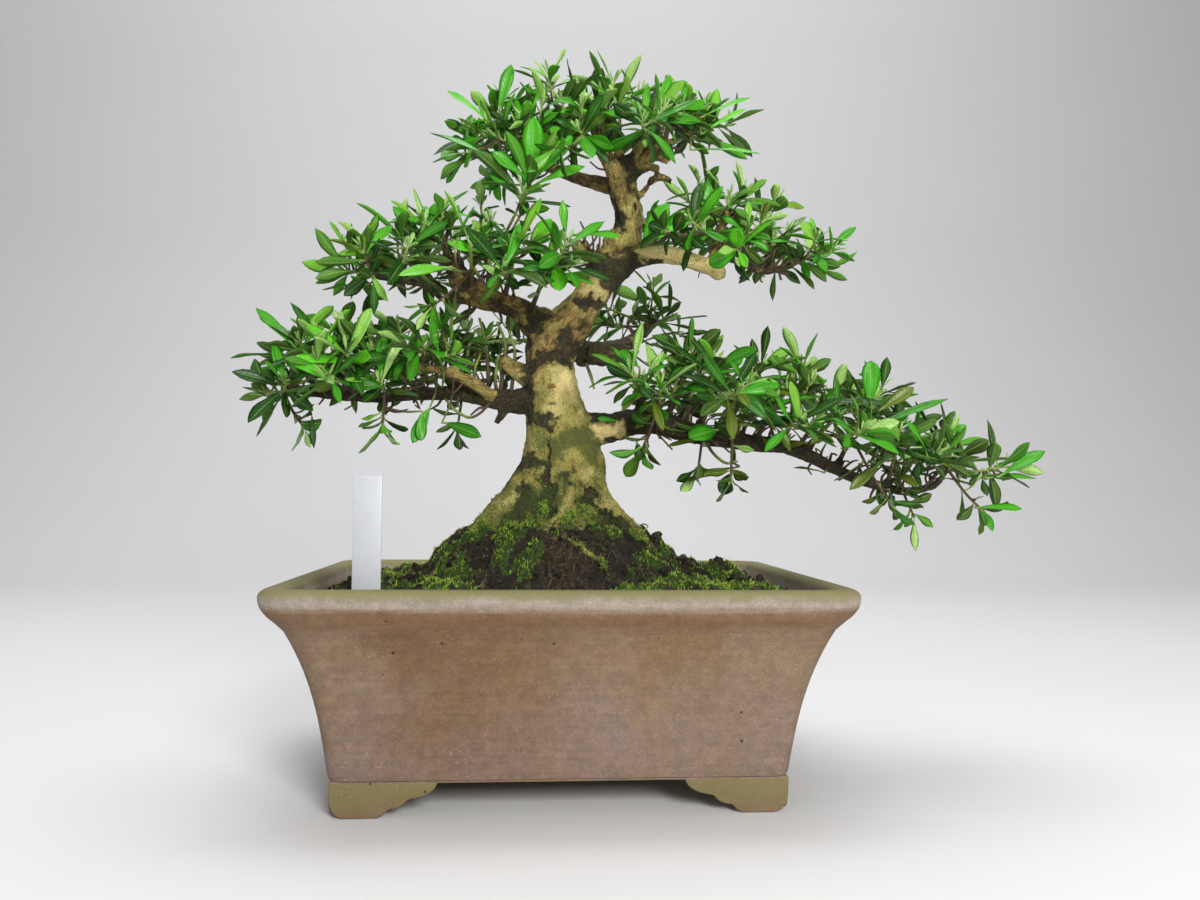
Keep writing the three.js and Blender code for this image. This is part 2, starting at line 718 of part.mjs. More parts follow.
/** The block of soil: a mound around the trunk foot, cut to the pot's inside and around what stands in it. */
function makeSoil() {
  const floorZ = insideFloor + GAP;
  const rings = SOIL_SHARES.map((share) => {
    const round = THREE.MathUtils.lerp(MOUND_ROUND, pot.baseCorner, share);
    const ring = roundedRing((pot.baseHalfX + lipOut) * share, (pot.baseHalfY + lipOut) * share, round, 0);
    ring.forEach((point) => point.setZ(soilHeight(point.x, point.y)));
    return ring;
  });
  const under = rings[0].map((point) => point.clone().setZ(floorZ));
  const top = new THREE.Vector3(0, 0, soilHeight(0, 0));
  const block = loft([under, ...rings], new THREE.Vector3(0, 0, floorZ), top).intersect(potInside(GAP));
  const pocketSide = screen.side + 2 * GAP;
  const pocketHeight = 2 * (screen.thickness + GAP);
  const pockets = [1, -1].map((side) =>
    placed(
      new THREE.BoxGeometry(pocketSide, pocketSide, pocketHeight),
      new THREE.Matrix4().setPosition(side * pot.drainX, 0, floorZ),
    ),
  );
  return block.subtract(unite([trunkFoot(TRUNK_HOLE), labelPlate(GAP), ...pockets]));
}

// ---------------------------------------------------------------- everything, in its place

const finishes = {
  clay: new THREE.MeshStandardMaterial({ color: "#7d6a58", roughness: 0.85 }),
  soil: new THREE.MeshStandardMaterial({ color: "#2a211a", roughness: 1 }),
  bark: new THREE.MeshStandardMaterial({ color: "#8d7757", roughness: 0.9 }),
  leaf: new THREE.MeshStandardMaterial({ color: "#3f8a2b", roughness: 0.5 }),
  label: new THREE.MeshStandardMaterial({ color: "#f2f2ee", roughness: 0.45 }),
  screen: new THREE.MeshStandardMaterial({ color: "#1f2422", roughness: 0.6 }),
};

const LEAF_ROUNDS = [2, 3]; // how many leaves each shoot has after each round
const COARSE_ORDER = [8, 7, 1, 5, 4, 6, 2, 3, 0]; // picks of a whorl that stand evenly round the shoot

/** Grows leaves on every shoot in rounds; one that would cross what is already there is left out. */
function growLeaves(sprayList, obstacles) {
  const pick = (leaves) => COARSE_ORDER.map((i) => leaves[i]);
  const taken = [...obstacles, ...sprayList.map((spray) => spray.twig)];
  const shoots = sprayList.flatMap((spray, s) =>
    spray.plan.shoots.map((shoot, t) => ({
      spray,
      waiting: pick(whorl(shoot, s * 16 + t + 1)),
      grown: [],
    })),
  );
  for (const wanted of LEAF_ROUNDS) {
    for (const shoot of shoots) {
      while (shoot.grown.length < wanted && shoot.waiting.length) {
        const next = shoot.waiting.shift();
        const roomy = boxed(blade(next, GAP));
        const own = [shoot.spray.twig, ...shoot.grown];
        if (taken.some((other) => !own.includes(other) && clash(roomy, other))) continue;
        const grown = boxed(blade(next));
        shoot.grown.push(grown);
        shoot.spray.leaves.push(grown);
        taken.push(grown);
      }
    }
  }
}

const sprayList = Object.entries(sprays).flatMap(([pad, rows]) =>
  rows.map((row, i) => {
    const plan = sprayPlan(row);
    return { name: `spray_${pad}_${i + 1}`, plan, twig: boxed(sprayTwig(plan)), leaves: [] };
  }),
);

const solids = {
  pot: { solid: makePot(), finish: finishes.clay },
  soil: { solid: makeSoil(), finish: finishes.soil },
  plant_label: { solid: labelPlate(0), finish: finishes.label },
  drain_screen_left: { solid: makeScreen(-pot.drainX), finish: finishes.screen },
  drain_screen_right: { solid: makeScreen(pot.drainX), finish: finishes.screen },
  wood: { solid: makeWood(sprayList.map((spray) => spray.plan)), finish: finishes.bark },
};

growLeaves(sprayList, [boxed(solids.wood.solid), boxed(solids.pot.solid), boxed(solids.plant_label.solid)]);
for (const { name, twig: stalk, leaves } of sprayList) {
  solids[name] = { solid: unite([stalk, ...leaves].map((piece) => piece.solid)), finish: finishes.leaf };
}

const bonsai = new THREE.Group();
for (const [name, { solid, finish }] of Object.entries(solids)) {
  const mesh = new THREE.Mesh(geometryOf(solid), finish);
  mesh.name = name;
  bonsai.add(mesh);
}
const extent = new THREE.Box3().setFromObject(bonsai);
const middle = extent.getCenter(new THREE.Vector3());
bonsai.position.set(-middle.x, -middle.y, -extent.min.z);

export default bonsai;
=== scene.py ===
"""Looks of a satsuki azalea bonsai in its footed stoneware pot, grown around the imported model.

Plan coordinates are millimetres from the middle of the pot's underside, +X to the right, -Y to the
viewer and +Z up.
"""

from __future__ import annotations

import logging
import math
from dataclasses import dataclass, replace
from enum import Enum, IntEnum
from functools import cache, cached_property
from itertools import combinations
from typing import NamedTuple, Sequence

import bmesh
import bpy
import numpy as np
from mathutils import Matrix, Vector, noise

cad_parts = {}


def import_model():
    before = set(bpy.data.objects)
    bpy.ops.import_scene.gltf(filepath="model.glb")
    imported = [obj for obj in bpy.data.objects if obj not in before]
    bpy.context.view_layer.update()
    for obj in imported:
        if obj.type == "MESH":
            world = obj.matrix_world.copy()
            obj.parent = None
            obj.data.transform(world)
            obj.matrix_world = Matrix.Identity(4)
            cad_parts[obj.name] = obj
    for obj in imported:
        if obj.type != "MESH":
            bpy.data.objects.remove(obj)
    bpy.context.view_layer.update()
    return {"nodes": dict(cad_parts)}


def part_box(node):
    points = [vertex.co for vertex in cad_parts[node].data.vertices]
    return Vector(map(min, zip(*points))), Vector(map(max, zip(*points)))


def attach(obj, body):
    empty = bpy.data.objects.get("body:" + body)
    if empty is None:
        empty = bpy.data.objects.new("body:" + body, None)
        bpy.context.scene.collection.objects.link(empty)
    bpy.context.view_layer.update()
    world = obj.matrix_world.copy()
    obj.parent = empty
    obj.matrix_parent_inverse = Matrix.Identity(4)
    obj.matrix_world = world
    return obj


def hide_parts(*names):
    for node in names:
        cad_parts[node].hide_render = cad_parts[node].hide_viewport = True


LOG = logging.getLogger("bonsai")
MM = 0.001
Array = np.ndarray
Rows = Sequence[Sequence[float]]
Colour = tuple[float, float, float]
Values = dict[str | int, object]


class Slot(Enum):
    """Material slot names, which are handed to place_piece along with the built pieces."""

    STONEWARE = "stoneware"
    SOIL = "soil"
    LABEL = "label"
    BARK = "bark"
    FOLIAGE = "foliage"


class Seed(IntEnum):
    """Where each kind of scatter starts its draws."""

    GRAINS = 5
    MOSS = 8
    CRUMBS = 11
    ROOTLETS = 19
    TUFTS = 23
    TWIGLETS = 31
    CUSHIONS = 41


# ---- small helpers


def vec(x: float, y: float, z: float) -> Array:
    """A plan vector."""
    return np.array([x, y, z], float)


def unit(vector: Array) -> Array:
    """The vector at length one."""
    return vector / np.linalg.norm(vector)


def lerp(low: float, high: float, share: float) -> float:
    """The value at a share of the way from low to high."""
    return low + (high - low) * share


def clamp(value: float, low: float = 0.0, high: float = 1.0) -> float:
    """The value kept between low and high."""
    return min(max(value, low), high)


def square_to(direction: Array) -> Array:
    """A unit vector square to a direction, leaning towards the viewer.

    Args:
        direction: The direction, of any length but 0.

    Returns:
        The unit vector.
    """
    side = vec(0, -1, 0) + direction * direction[1]
    if np.linalg.norm(side) < 0.2:
        side = vec(1, 0, 0) - direction * direction[0]
    return unit(side)


def rgb(red: int, green: int, blue: int) -> Colour:
    """The scene's linear colour for a display colour of 0 to 255."""
    shares = [value / 255 for value in (red, green, blue)]
    return tuple(s / 12.92 if s <= 0.04045 else ((s + 0.055) / 1.055) ** 2.4 for s in shares)


def ripple(point: Sequence[float], size: float, seed: float = 0.0) -> float:
    """Smooth noise between about -1 and 1 whose lumps are a size in mm across."""
    return noise.noise(Vector((point[0] / size + seed, point[1] / size - seed, point[2] / size)))


class Draws:
    """A small repeatable source of draws between 0 and 1."""

    factor, step, span = 1664525, 1013904223, 1 << 32

    def __init__(self, seed: int) -> None:
        """Starts the draws at a seed."""
        self.state = seed % self.span

    def next(self) -> float:
        """The next draw."""
        self.state = (self.state * self.factor + self.step) % self.span
        return self.state / self.span

    def between(self, low: float, high: float) -> float:
        """A draw between two values."""
        return lerp(low, high, self.next())


class Curve:
    """A uniform Catmull-Rom curve through plan points."""

    def __init__(self, points: Rows) -> None:
        """Lays the curve through the points, with a knot added beyond each end."""
        inner = np.array([point[:3] for point in points], float)
        self.knots = np.vstack([2 * inner[0] - inner[1], inner, 2 * inner[-1] - inner[-2]])
        self.spans = len(inner) - 1

    def point(self, share: float) -> Array:
        """The point at a share of the curve's spans.

        Args:
            share: The share, held between 0 and 1.

        Returns:
            The point.
        """
        place = clamp(share) * self.spans
        span = min(int(place), self.spans - 1)
        t = place - span
        before, start, end, after = self.knots[span : span + 4]
        leave, arrive = (end - before) / 2, (after - start) / 2
        return (
            start
            + leave * t
            + (3 * (end - start) - 2 * leave - arrive) * t**2
            + (2 * (start - end) + leave + arrive) * t**3
        )

    def tangent(self, share: float) -> Array:
        """The unit direction at a share of the curve's spans."""
        low, high = max(share - 1e-4, 0.0), min(share + 1e-4, 1.0)
        return unit(self.point(high) - self.point(low))


@cache
def origin() -> Array:
    """The plan's origin in the row frame, in metres."""
    low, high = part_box("pot")
    return np.array([(low.x + high.x) / 2, (low.y + high.y) / 2, low.z])


def to_row(points: Array) -> Array:
    """Plan millimetres as row metres."""
    return np.asarray(points, float) * MM + origin()


def linked(name: str, data: bpy.types.ID) -> bpy.types.Object:
    """A new object in the scene.

    Args:
        name: The object's name.
        data: Its mesh, light or camera, or None.

    Returns:
        The object.
    """
    thing = bpy.data.objects.new(name, data)
    bpy.context.scene.collection.objects.link(thing)
    return thing


@dataclass
class Patch:
    """Faces of one finish, with a map place and a mark of three numbers at each face corner."""

    points: Array
    quads: Array
    triangles: Array
    places: Array
    marks: Array
    finish: int = 0


class MeshDraft:
    """Patches gathered before they become one mesh."""

    def __init__(self, *patches: Patch) -> None:
        """Starts the draft with some patches."""
        self.patches = list(patches)

    def add(self, *patches: Patch) -> None:
        """Adds patches to the draft."""
        self.patches.extend(patches)

    def build(self, name: str, *finishes: bpy.types.Material) -> bpy.types.Object:
        """Joins the patches into one object.

        Args:
            name: The piece's name.
            *finishes: The materials that the patches' finish numbers pick from.

        Returns:
            The linked object, with its corners' "blade" map and "mark" attribute.
        """
        starts = np.cumsum([0] + [len(patch.points) for patch in self.patches[:-1]])
        seated = list(zip(self.patches, starts))
        points = np.concatenate([patch.points for patch in self.patches])
        quads = np.concatenate([patch.quads + start for patch, start in seated])
        triangles = np.concatenate([patch.triangles + start for patch, start in seated])
        mesh = bpy.data.meshes.new(name)
        mesh.from_pydata(to_row(points).tolist(), [], quads.tolist() + triangles.tolist())
        for field_name, width in (("places", 2), ("marks", 3)):
            first = [getattr(patch, field_name)[: 4 * len(patch.quads)] for patch in self.patches]
            rest = [getattr(patch, field_name)[4 * len(patch.quads) :] for patch in self.patches]
            values = np.concatenate(first + rest).astype(np.float32).reshape(-1, width).ravel()
            if width == 2:
                mesh.uv_layers.new(name="blade").uv.foreach_set("vector", values)
            else:
                layer = mesh.attributes.new("mark", "FLOAT_VECTOR", "CORNER")
                layer.data.foreach_set("vector", values)
        picks = [np.full(len(patch.quads), patch.finish) for patch in self.patches]
        picks += [np.full(len(patch.triangles), patch.finish) for patch in self.patches]
        mesh.polygons.foreach_set("material_index", np.concatenate(picks).astype(np.int32))
        for finish in finishes:
            mesh.materials.append(finish)
        mesh.shade_smooth()
        mesh.update()
        return linked(name, mesh)


def shard(points: Array, triangles: Array, marks: Array) -> Patch:
    """A patch of triangles that has no map."""
    return Patch(points, np.zeros((0, 4), int), triangles, np.zeros((len(marks), 2)), marks)


def skin(rings: Sequence[Array], marks: Rows | None = None, ends: bool = True) -> Patch:
    """Skins rings of points, each run anticlockwise as seen from the last ring's side.

    Args:
        rings: Rings with one number of points.
        marks: One mark for each ring.
        ends: Whether a fan closes each end.

    Returns:
        The skin as a patch, mapped around and along.
    """
    around, last = len(rings[0]), len(rings) - 1
    marks = np.array(marks if marks is not None else [(0, 0, 0)] * len(rings), float)
    row, step = np.meshgrid(np.arange(last), np.arange(around), indexing="ij")
    row, step = row.ravel(), step.ravel()
    after = (step + 1) % around
    base, above = row * around, (row + 1) * around
    quads = np.stack([base + step, base + after, above + after, above + step], 1)
    u = np.stack([step, step + 1, step + 1, step], 1) / around
    v = np.stack([row, row, row + 1, row + 1], 1)
    places = np.stack([u, v / max(last, 1)], 2).reshape(-1, 2)
    corner_marks = marks[v].reshape(-1, 3)
    points = np.concatenate(rings)
    triangles = np.zeros((0, 3), int)
    if ends:
        tail, head = len(points), len(points) + 1
        points = np.vstack([points, rings[0].mean(0), rings[-1].mean(0)])
        spoke = np.arange(around)
        turn = (spoke + 1) % around
        low = np.stack([np.full(around, tail), turn, spoke], 1)
        high = np.stack([np.full(around, head), last * around + spoke, last * around + turn], 1)
        triangles = np.concatenate([low, high])
        fan = np.tile([[0.5, 0.0], [0.5, 0.0], [0.5, 0.0]], (around, 1))
        places = np.concatenate([places, fan, fan + [0.0, 1.0]])
        caps = [np.tile(marks[i], (3 * around, 1)) for i in (0, -1)]
        corner_marks = np.concatenate([corner_marks, *caps])
    return Patch(points, quads, triangles, places, corner_marks)


def tube(curve: Curve, radii: Sequence[float], sides: int, steps: int, tone: float = 0.0) -> Patch:
    """A tapering tube along a curve. Its marks are the tone and the share of the length.

    Args:
        curve: The centre line.
        radii: Radii spread evenly over the length, in mm.
        sides: Points around.
        steps: Rings along, less one.
        tone: The first number of every mark.

    Returns:
        The closed tube.
    """
    side = square_to(curve.tangent(0.0))
    angles = np.arange(sides) / sides * 2 * math.pi
    shares = np.linspace(0, 1, steps + 1)
    rings = []
    for share in shares:
        along = curve.tangent(share)
        side = unit(side - along * side.dot(along))
        other = np.cross(along, side)
        radius = np.interp(share * (len(radii) - 1), np.arange(len(radii)), radii)
        across = np.outer(radius * np.cos(angles), side)
        rings.append(curve.point(share) + across + np.outer(radius * np.sin(angles), other))
    return skin(rings, [(tone, share, 0.0) for share in shares])


def grown(rows: Rows, sides: int, steps: int) -> Patch:
    """A tube through rows of x, y, z and radius."""
    return tube(Curve(rows), [row[3] for row in rows], sides, steps)


def settle(piece: bpy.types.Object) -> None:
    """Turns an object's modifiers into its mesh.

    Args:
        piece: The object.
    """
    graph = bpy.context.evaluated_depsgraph_get()
    mesh = bpy.data.meshes.new_from_object(piece.evaluated_get(graph))
    old = piece.data
    piece.modifiers.clear()
    piece.data = mesh
    bpy.data.meshes.remove(old)


def plate(name: str, rings: Sequence[Array], rounding: float, limit: float) -> bpy.types.Object:
    """A plate between two outlines, with softened edges.

    Args:
        name: Its name.
        rings: The outlines, clockwise as seen from the first one's side.
        rounding: How far its edges are softened, in mm.
        limit: The sharpest angle in degrees that stays as it is.

    Returns:
        The linked object.
    """
    count = len(rings[0])
    walls = [(i, (i + 1) % count, count + (i + 1) % count, count + i) for i in range(count)]
    faces = [list(range(count))[::-1], list(range(count, 2 * count)), *walls]
    mesh = bpy.data.meshes.new(name)
    mesh.from_pydata(to_row(np.concatenate(rings)).tolist(), [], faces)
    piece = linked(name, mesh)
    bevel = piece.modifiers.new("soft edges", "BEVEL")
    bevel.width, bevel.segments = rounding * MM, 3
    bevel.limit_method, bevel.angle_limit = "ANGLE", math.radians(limit)
    settle(piece)
    return piece


def place_piece(piece: bpy.types.Object, slot: Slot, *nodes: str) -> bpy.types.Object:
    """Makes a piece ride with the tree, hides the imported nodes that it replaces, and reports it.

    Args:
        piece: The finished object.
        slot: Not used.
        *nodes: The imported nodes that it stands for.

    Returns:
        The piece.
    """
    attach(piece, "root")
    if nodes:
        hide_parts(*nodes)
    LOG.info("%s: %d faces", piece.name, len(piece.data.polygons))
    return piece


# ---- shader maths


class Signal:
    """A node's output. Its arithmetic adds Math nodes, or Vector Math nodes for vectors and colours."""

    def __init__(self, graph: Graph, socket: bpy.types.NodeSocket) -> None:
        """Wraps one output socket of a graph's node."""
        self.graph, self.socket = graph, socket

    @property
    def wide(self) -> bool:
        """Whether it carries a vector or a colour."""
        return self.socket.type in {"VECTOR", "RGBA"}

    def _sum(self, operation: str, *terms: Term) -> Signal:
        """The result of one Math or Vector Math node on some terms.

        Args:
            operation: The node's operation.
            terms: Signals and plain values, in the order of its inputs.

        Returns:
            The node's output.
        """
        wide = any(isinstance(term, Signal) and term.wide for term in terms)
        kind = "ShaderNodeVectorMath" if wide else "ShaderNodeMath"
        if wide:
            terms = tuple((t, t, t) if isinstance(t, (int, float)) else t for t in terms)
        return self.graph.node(kind, {"operation": operation}, dict(enumerate(terms)))

    def __add__(self, other: Term) -> Signal:
        """self + other."""
        return self._sum("ADD", self, other)

    def __radd__(self, other: Term) -> Signal:
        """other + self."""
        return self._sum("ADD", other, self)

    def __sub__(self, other: Term) -> Signal:
        """self - other."""
        return self._sum("SUBTRACT", self, other)

    def __rsub__(self, other: Term) -> Signal:
        """other - self."""
        return self._sum("SUBTRACT", other, self)

    def __mul__(self, other: Term) -> Signal:
        """self * other."""
        return self._sum("MULTIPLY", self, other)

    def __rmul__(self, other: Term) -> Signal:
        """other * self."""
        return self._sum("MULTIPLY", other, self)

    def __abs__(self) -> Signal:
        """The distance from zero."""
        return self._sum("ABSOLUTE", self)

    def most(self, other: Term) -> Signal:
        """The larger of the two."""
        return self._sum("MAXIMUM", self, other)

    def repeat(self) -> Signal:
        """What is left over whole numbers."""
        return self._sum("FRACT", self)

    def fade(self, low: float, high: float) -> Signal:
        """0 below low and 1 above high, smooth between; the other way round where low is above high.

        Args:
            low: The value at which it is 0.
            high: The value at which it is 1.

        Returns:
            The faded signal.
        """
        down = low > high
        sockets = {"Value": self, "From Min": min(low, high), "From Max": max(low, high)}
        sockets |= {"To Min": float(down), "To Max": float(not down)}
        return self.graph.node("ShaderNodeMapRange", {"interpolation_type": "SMOOTHSTEP"}, sockets)

    def parts(self) -> list[Signal]:
        """A vector's three numbers."""
        split = self.graph.made("ShaderNodeSeparateXYZ", {}, {0: self})
        return [Signal(self.graph, socket) for socket in split.outputs]


Term = Signal | float | tuple[float, float, float]


class Graph:
    """The nodes of one material."""

    def __init__(self, name: str) -> None:
        """Starts a new material without nodes."""
        self.material = bpy.data.materials.new(name)
        self.material.use_nodes = True
        self.tree = self.material.node_tree
        self.tree.nodes.clear()

    def made(self, kind: str, settings: Values, sockets: Values) -> bpy.types.Node:
        """Adds a node.

        Args:
            kind: The node's type.
            settings: Its settings, which are set first; "stops" are a ramp's places and colours.
            sockets: Values or signals for its inputs, by name or number.

        Returns:
            The node.
        """
        node = self.tree.nodes.new(kind)
        for key, value in settings.items():
            if key == "stops":
                ramp = node.color_ramp
                while len(ramp.elements) < len(value):
                    ramp.elements.new(1.0)
                for element, (place, colour) in zip(ramp.elements, value):
                    element.position, element.color = place, (*colour, 1.0)
            else:
                setattr(node, key, value)
        for key, value in sockets.items():
            socket = node.inputs[key]
            if isinstance(value, Signal):
                self.tree.links.new(value.socket, socket)
            elif socket.type == "RGBA" and len(value) == 3:
                socket.default_value = (*value, 1.0)
            else:
                socket.default_value = value
        return node

    def node(self, kind: str, settings: Values, sockets: Values, output: str | int = 0) -> Signal:
        """Adds a node and gives one of its outputs as a signal."""
        return Signal(self, self.made(kind, settings, sockets).outputs[output])

    def place(self) -> Signal:
        """The surface point in the row frame, in millimetres."""
        return self.node("ShaderNodeTexCoord", {}, {}, "Object") * 1000.0

    def attribute(self, name: str) -> Signal:
        """A mesh attribute as a vector."""
        return self.node("ShaderNodeAttribute", {"attribute_name": name}, {}, "Vector")

    def noise(self, place: Signal, size: float, detail: float = 3.0, rough: float = 0.55) -> Signal:
        """Noise around a half, whose lumps are a size across in the place's own unit."""
        sockets = {"Vector": place, "Scale": 1 / size, "Detail": detail, "Roughness": rough}
        return self.node("ShaderNodeTexNoise", {}, sockets)

    def cells(self, place: Signal, size: float) -> Signal:
        """How far the nearest of scattered points is, as a share of the size that they are apart."""
        return self.node("ShaderNodeTexVoronoi", {}, {"Vector": place, "Scale": 1 / size}, "Distance")

    def mix(self, share: Term, low: Term, high: Term) -> Signal:
        """The colour at a share of the way from low to high."""
        settings = {"data_type": "RGBA", "clamp_factor": True}
        return self.node("ShaderNodeMix", settings, {0: share, 6: low, 7: high}, 2)

    def shaded(
        self, colour: Signal, share: Signal, low: float | Colour, high: float | Colour
    ) -> Signal:
        """The colour times a grey or a tint that runs from low to high."""
        ends = (end if isinstance(end, tuple) else (end, end, end) for end in (low, high))
        return colour * self.mix(share, *ends)

    def ramp(self, value: Signal, *stops: tuple[float, Colour]) -> Signal:
        """The colour that a value picks from a ramp's stops."""
        return self.node("ShaderNodeValToRGB", {"stops": stops}, {0: value})

    def bump(self, height: Signal, depth: float, strength: float = 1.0) -> Signal:
        """A bumped normal whose height of one stands for a depth in mm."""
        sockets = {"Strength": strength, "Distance": depth * MM, "Height": height}
        return self.node("ShaderNodeBump", {}, sockets)

    def finish(self, **sockets: object) -> bpy.types.Material:
        """Closes the material with one Principled surface.

        Args:
            **sockets: Its inputs, with underscores for the spaces of their names.

        Returns:
            The material.
        """
        named = {key.replace("_", " "): value for key, value in sockets.items()}
        surface = self.made("ShaderNodeBsdfPrincipled", {}, named)
        end = self.made("ShaderNodeOutputMaterial", {}, {})
        self.tree.links.new(surface.outputs[0], end.inputs[0])
        return self.material


# ---- finishes


@dataclass(frozen=True)
class Stoneware:
    """Unglazed clay: wiping marks, kiln colour, painted shade at its left, pits, pale grog, green on
    lip and feet.
    """

    body: Colour = rgb(128, 107, 87)
    warm: Colour = rgb(122, 95, 68)
    cool: Colour = rgb(127, 108, 101)
    pale: Colour = rgb(154, 144, 134)
    russet: Colour = rgb(120, 92, 68)
    painted_left_shade: Colour = rgb(104, 76, 52)
    bloom: Colour = rgb(112, 108, 60)
    pit: Colour = rgb(46, 38, 32)
    grog: Colour = rgb(206, 198, 184)
    lip_foot: float = 108.5
    lip_top: float = 117.0
    feet_to: float = 18.0

    def material(self) -> bpy.types.Material:
        """The clay's material.

        Returns:
            The material.
        """
        graph = Graph("stoneware")
        place = graph.place()
        side, _, height = place.parts()
        broad = graph.noise(place, 60.0, 4.0, 0.6)
        cloud = graph.noise(place + (90.0, 10.0, 40.0), 42.0, 4.0, 0.6)
        fine = graph.noise(place, 1.0, 4.0, 0.75)
        mottle = graph.noise(place + (3.0, 50.0, 8.0), 6.0, 6.0, 0.75)
        wiped = graph.noise(place * (0.05, 0.05, 1.0), 2.4, 5.0, 0.6)
        damp = graph.noise(place, 20.0, 4.0, 0.6)
        toasted = broad.fade(0.46, 0.64) * height.fade(30.0, 80.0)
        colour = graph.mix(toasted * 0.75, self.body, self.warm)
        colour = graph.mix(cloud.fade(0.32, 0.68) * height.fade(90.0, 40.0) * 0.85, colour, self.cool)
        # Painted shade: the pot's left side is darkened in broken patches.
        colour = graph.mix(side.fade(10.0, -150.0) * broad.fade(0.3, 0.6) * 0.65, colour, self.painted_left_shade)
        colour = graph.mix(height.fade(96.0, 104.0) * 0.7, colour, self.russet)
        lip = (height + (wiped - 0.5) * 5.0).fade(self.lip_foot, self.lip_foot + 5)
        colour = graph.mix(lip * 0.85, colour, self.pale)
        colour = graph.shaded(colour, wiped.fade(0.28, 0.74), 0.92, (1.07, 1.06, 1.05))
        colour = graph.shaded(colour, mottle.fade(0.38, 0.62), (0.88, 0.89, 0.88), (1.1, 1.09, 1.06))
        colour = graph.shaded(colour, fine.fade(0.3, 0.72), 0.8, 1.18)
        rim = (height + (damp - 0.5) * 9.0).fade(self.lip_top - 3, self.lip_top + 2)
        legs = height.fade(self.feet_to + 0.4, self.feet_to - 0.6)
        colour = graph.mix(legs * 0.5, colour, self.russet)
        feet = (height + (damp - 0.5) * 12.0).fade(self.feet_to - 22, self.feet_to - 8) * legs
        algae = damp.fade(0.6, 0.75) * height.fade(60.0, 100.0)
        green = (rim * 0.85).most(feet * 0.62).most(algae * 0.35)
        colour = graph.mix(green, colour, self.bloom)
        pits = graph.cells(place, 17.0).fade(0.06, 0.035)
        specks = graph.cells(place + (31.0, 7.0, 3.0), 3.4).fade(0.11, 0.05)
        colour = graph.mix(specks * cloud.fade(0.35, 0.6) * 0.5, colour, self.grog)
        colour = graph.mix(pits * 0.85, colour, self.pit)
        relief = wiped * 0.35 + fine * 0.4 - pits * 1.2
        return graph.finish(
            Base_Color=colour,
            Roughness=(0.66 + fine * 0.25 - green * 0.1),
            Normal=graph.bump(relief, 0.4, 0.8),
            Specular_IOR_Level=0.35,
        )


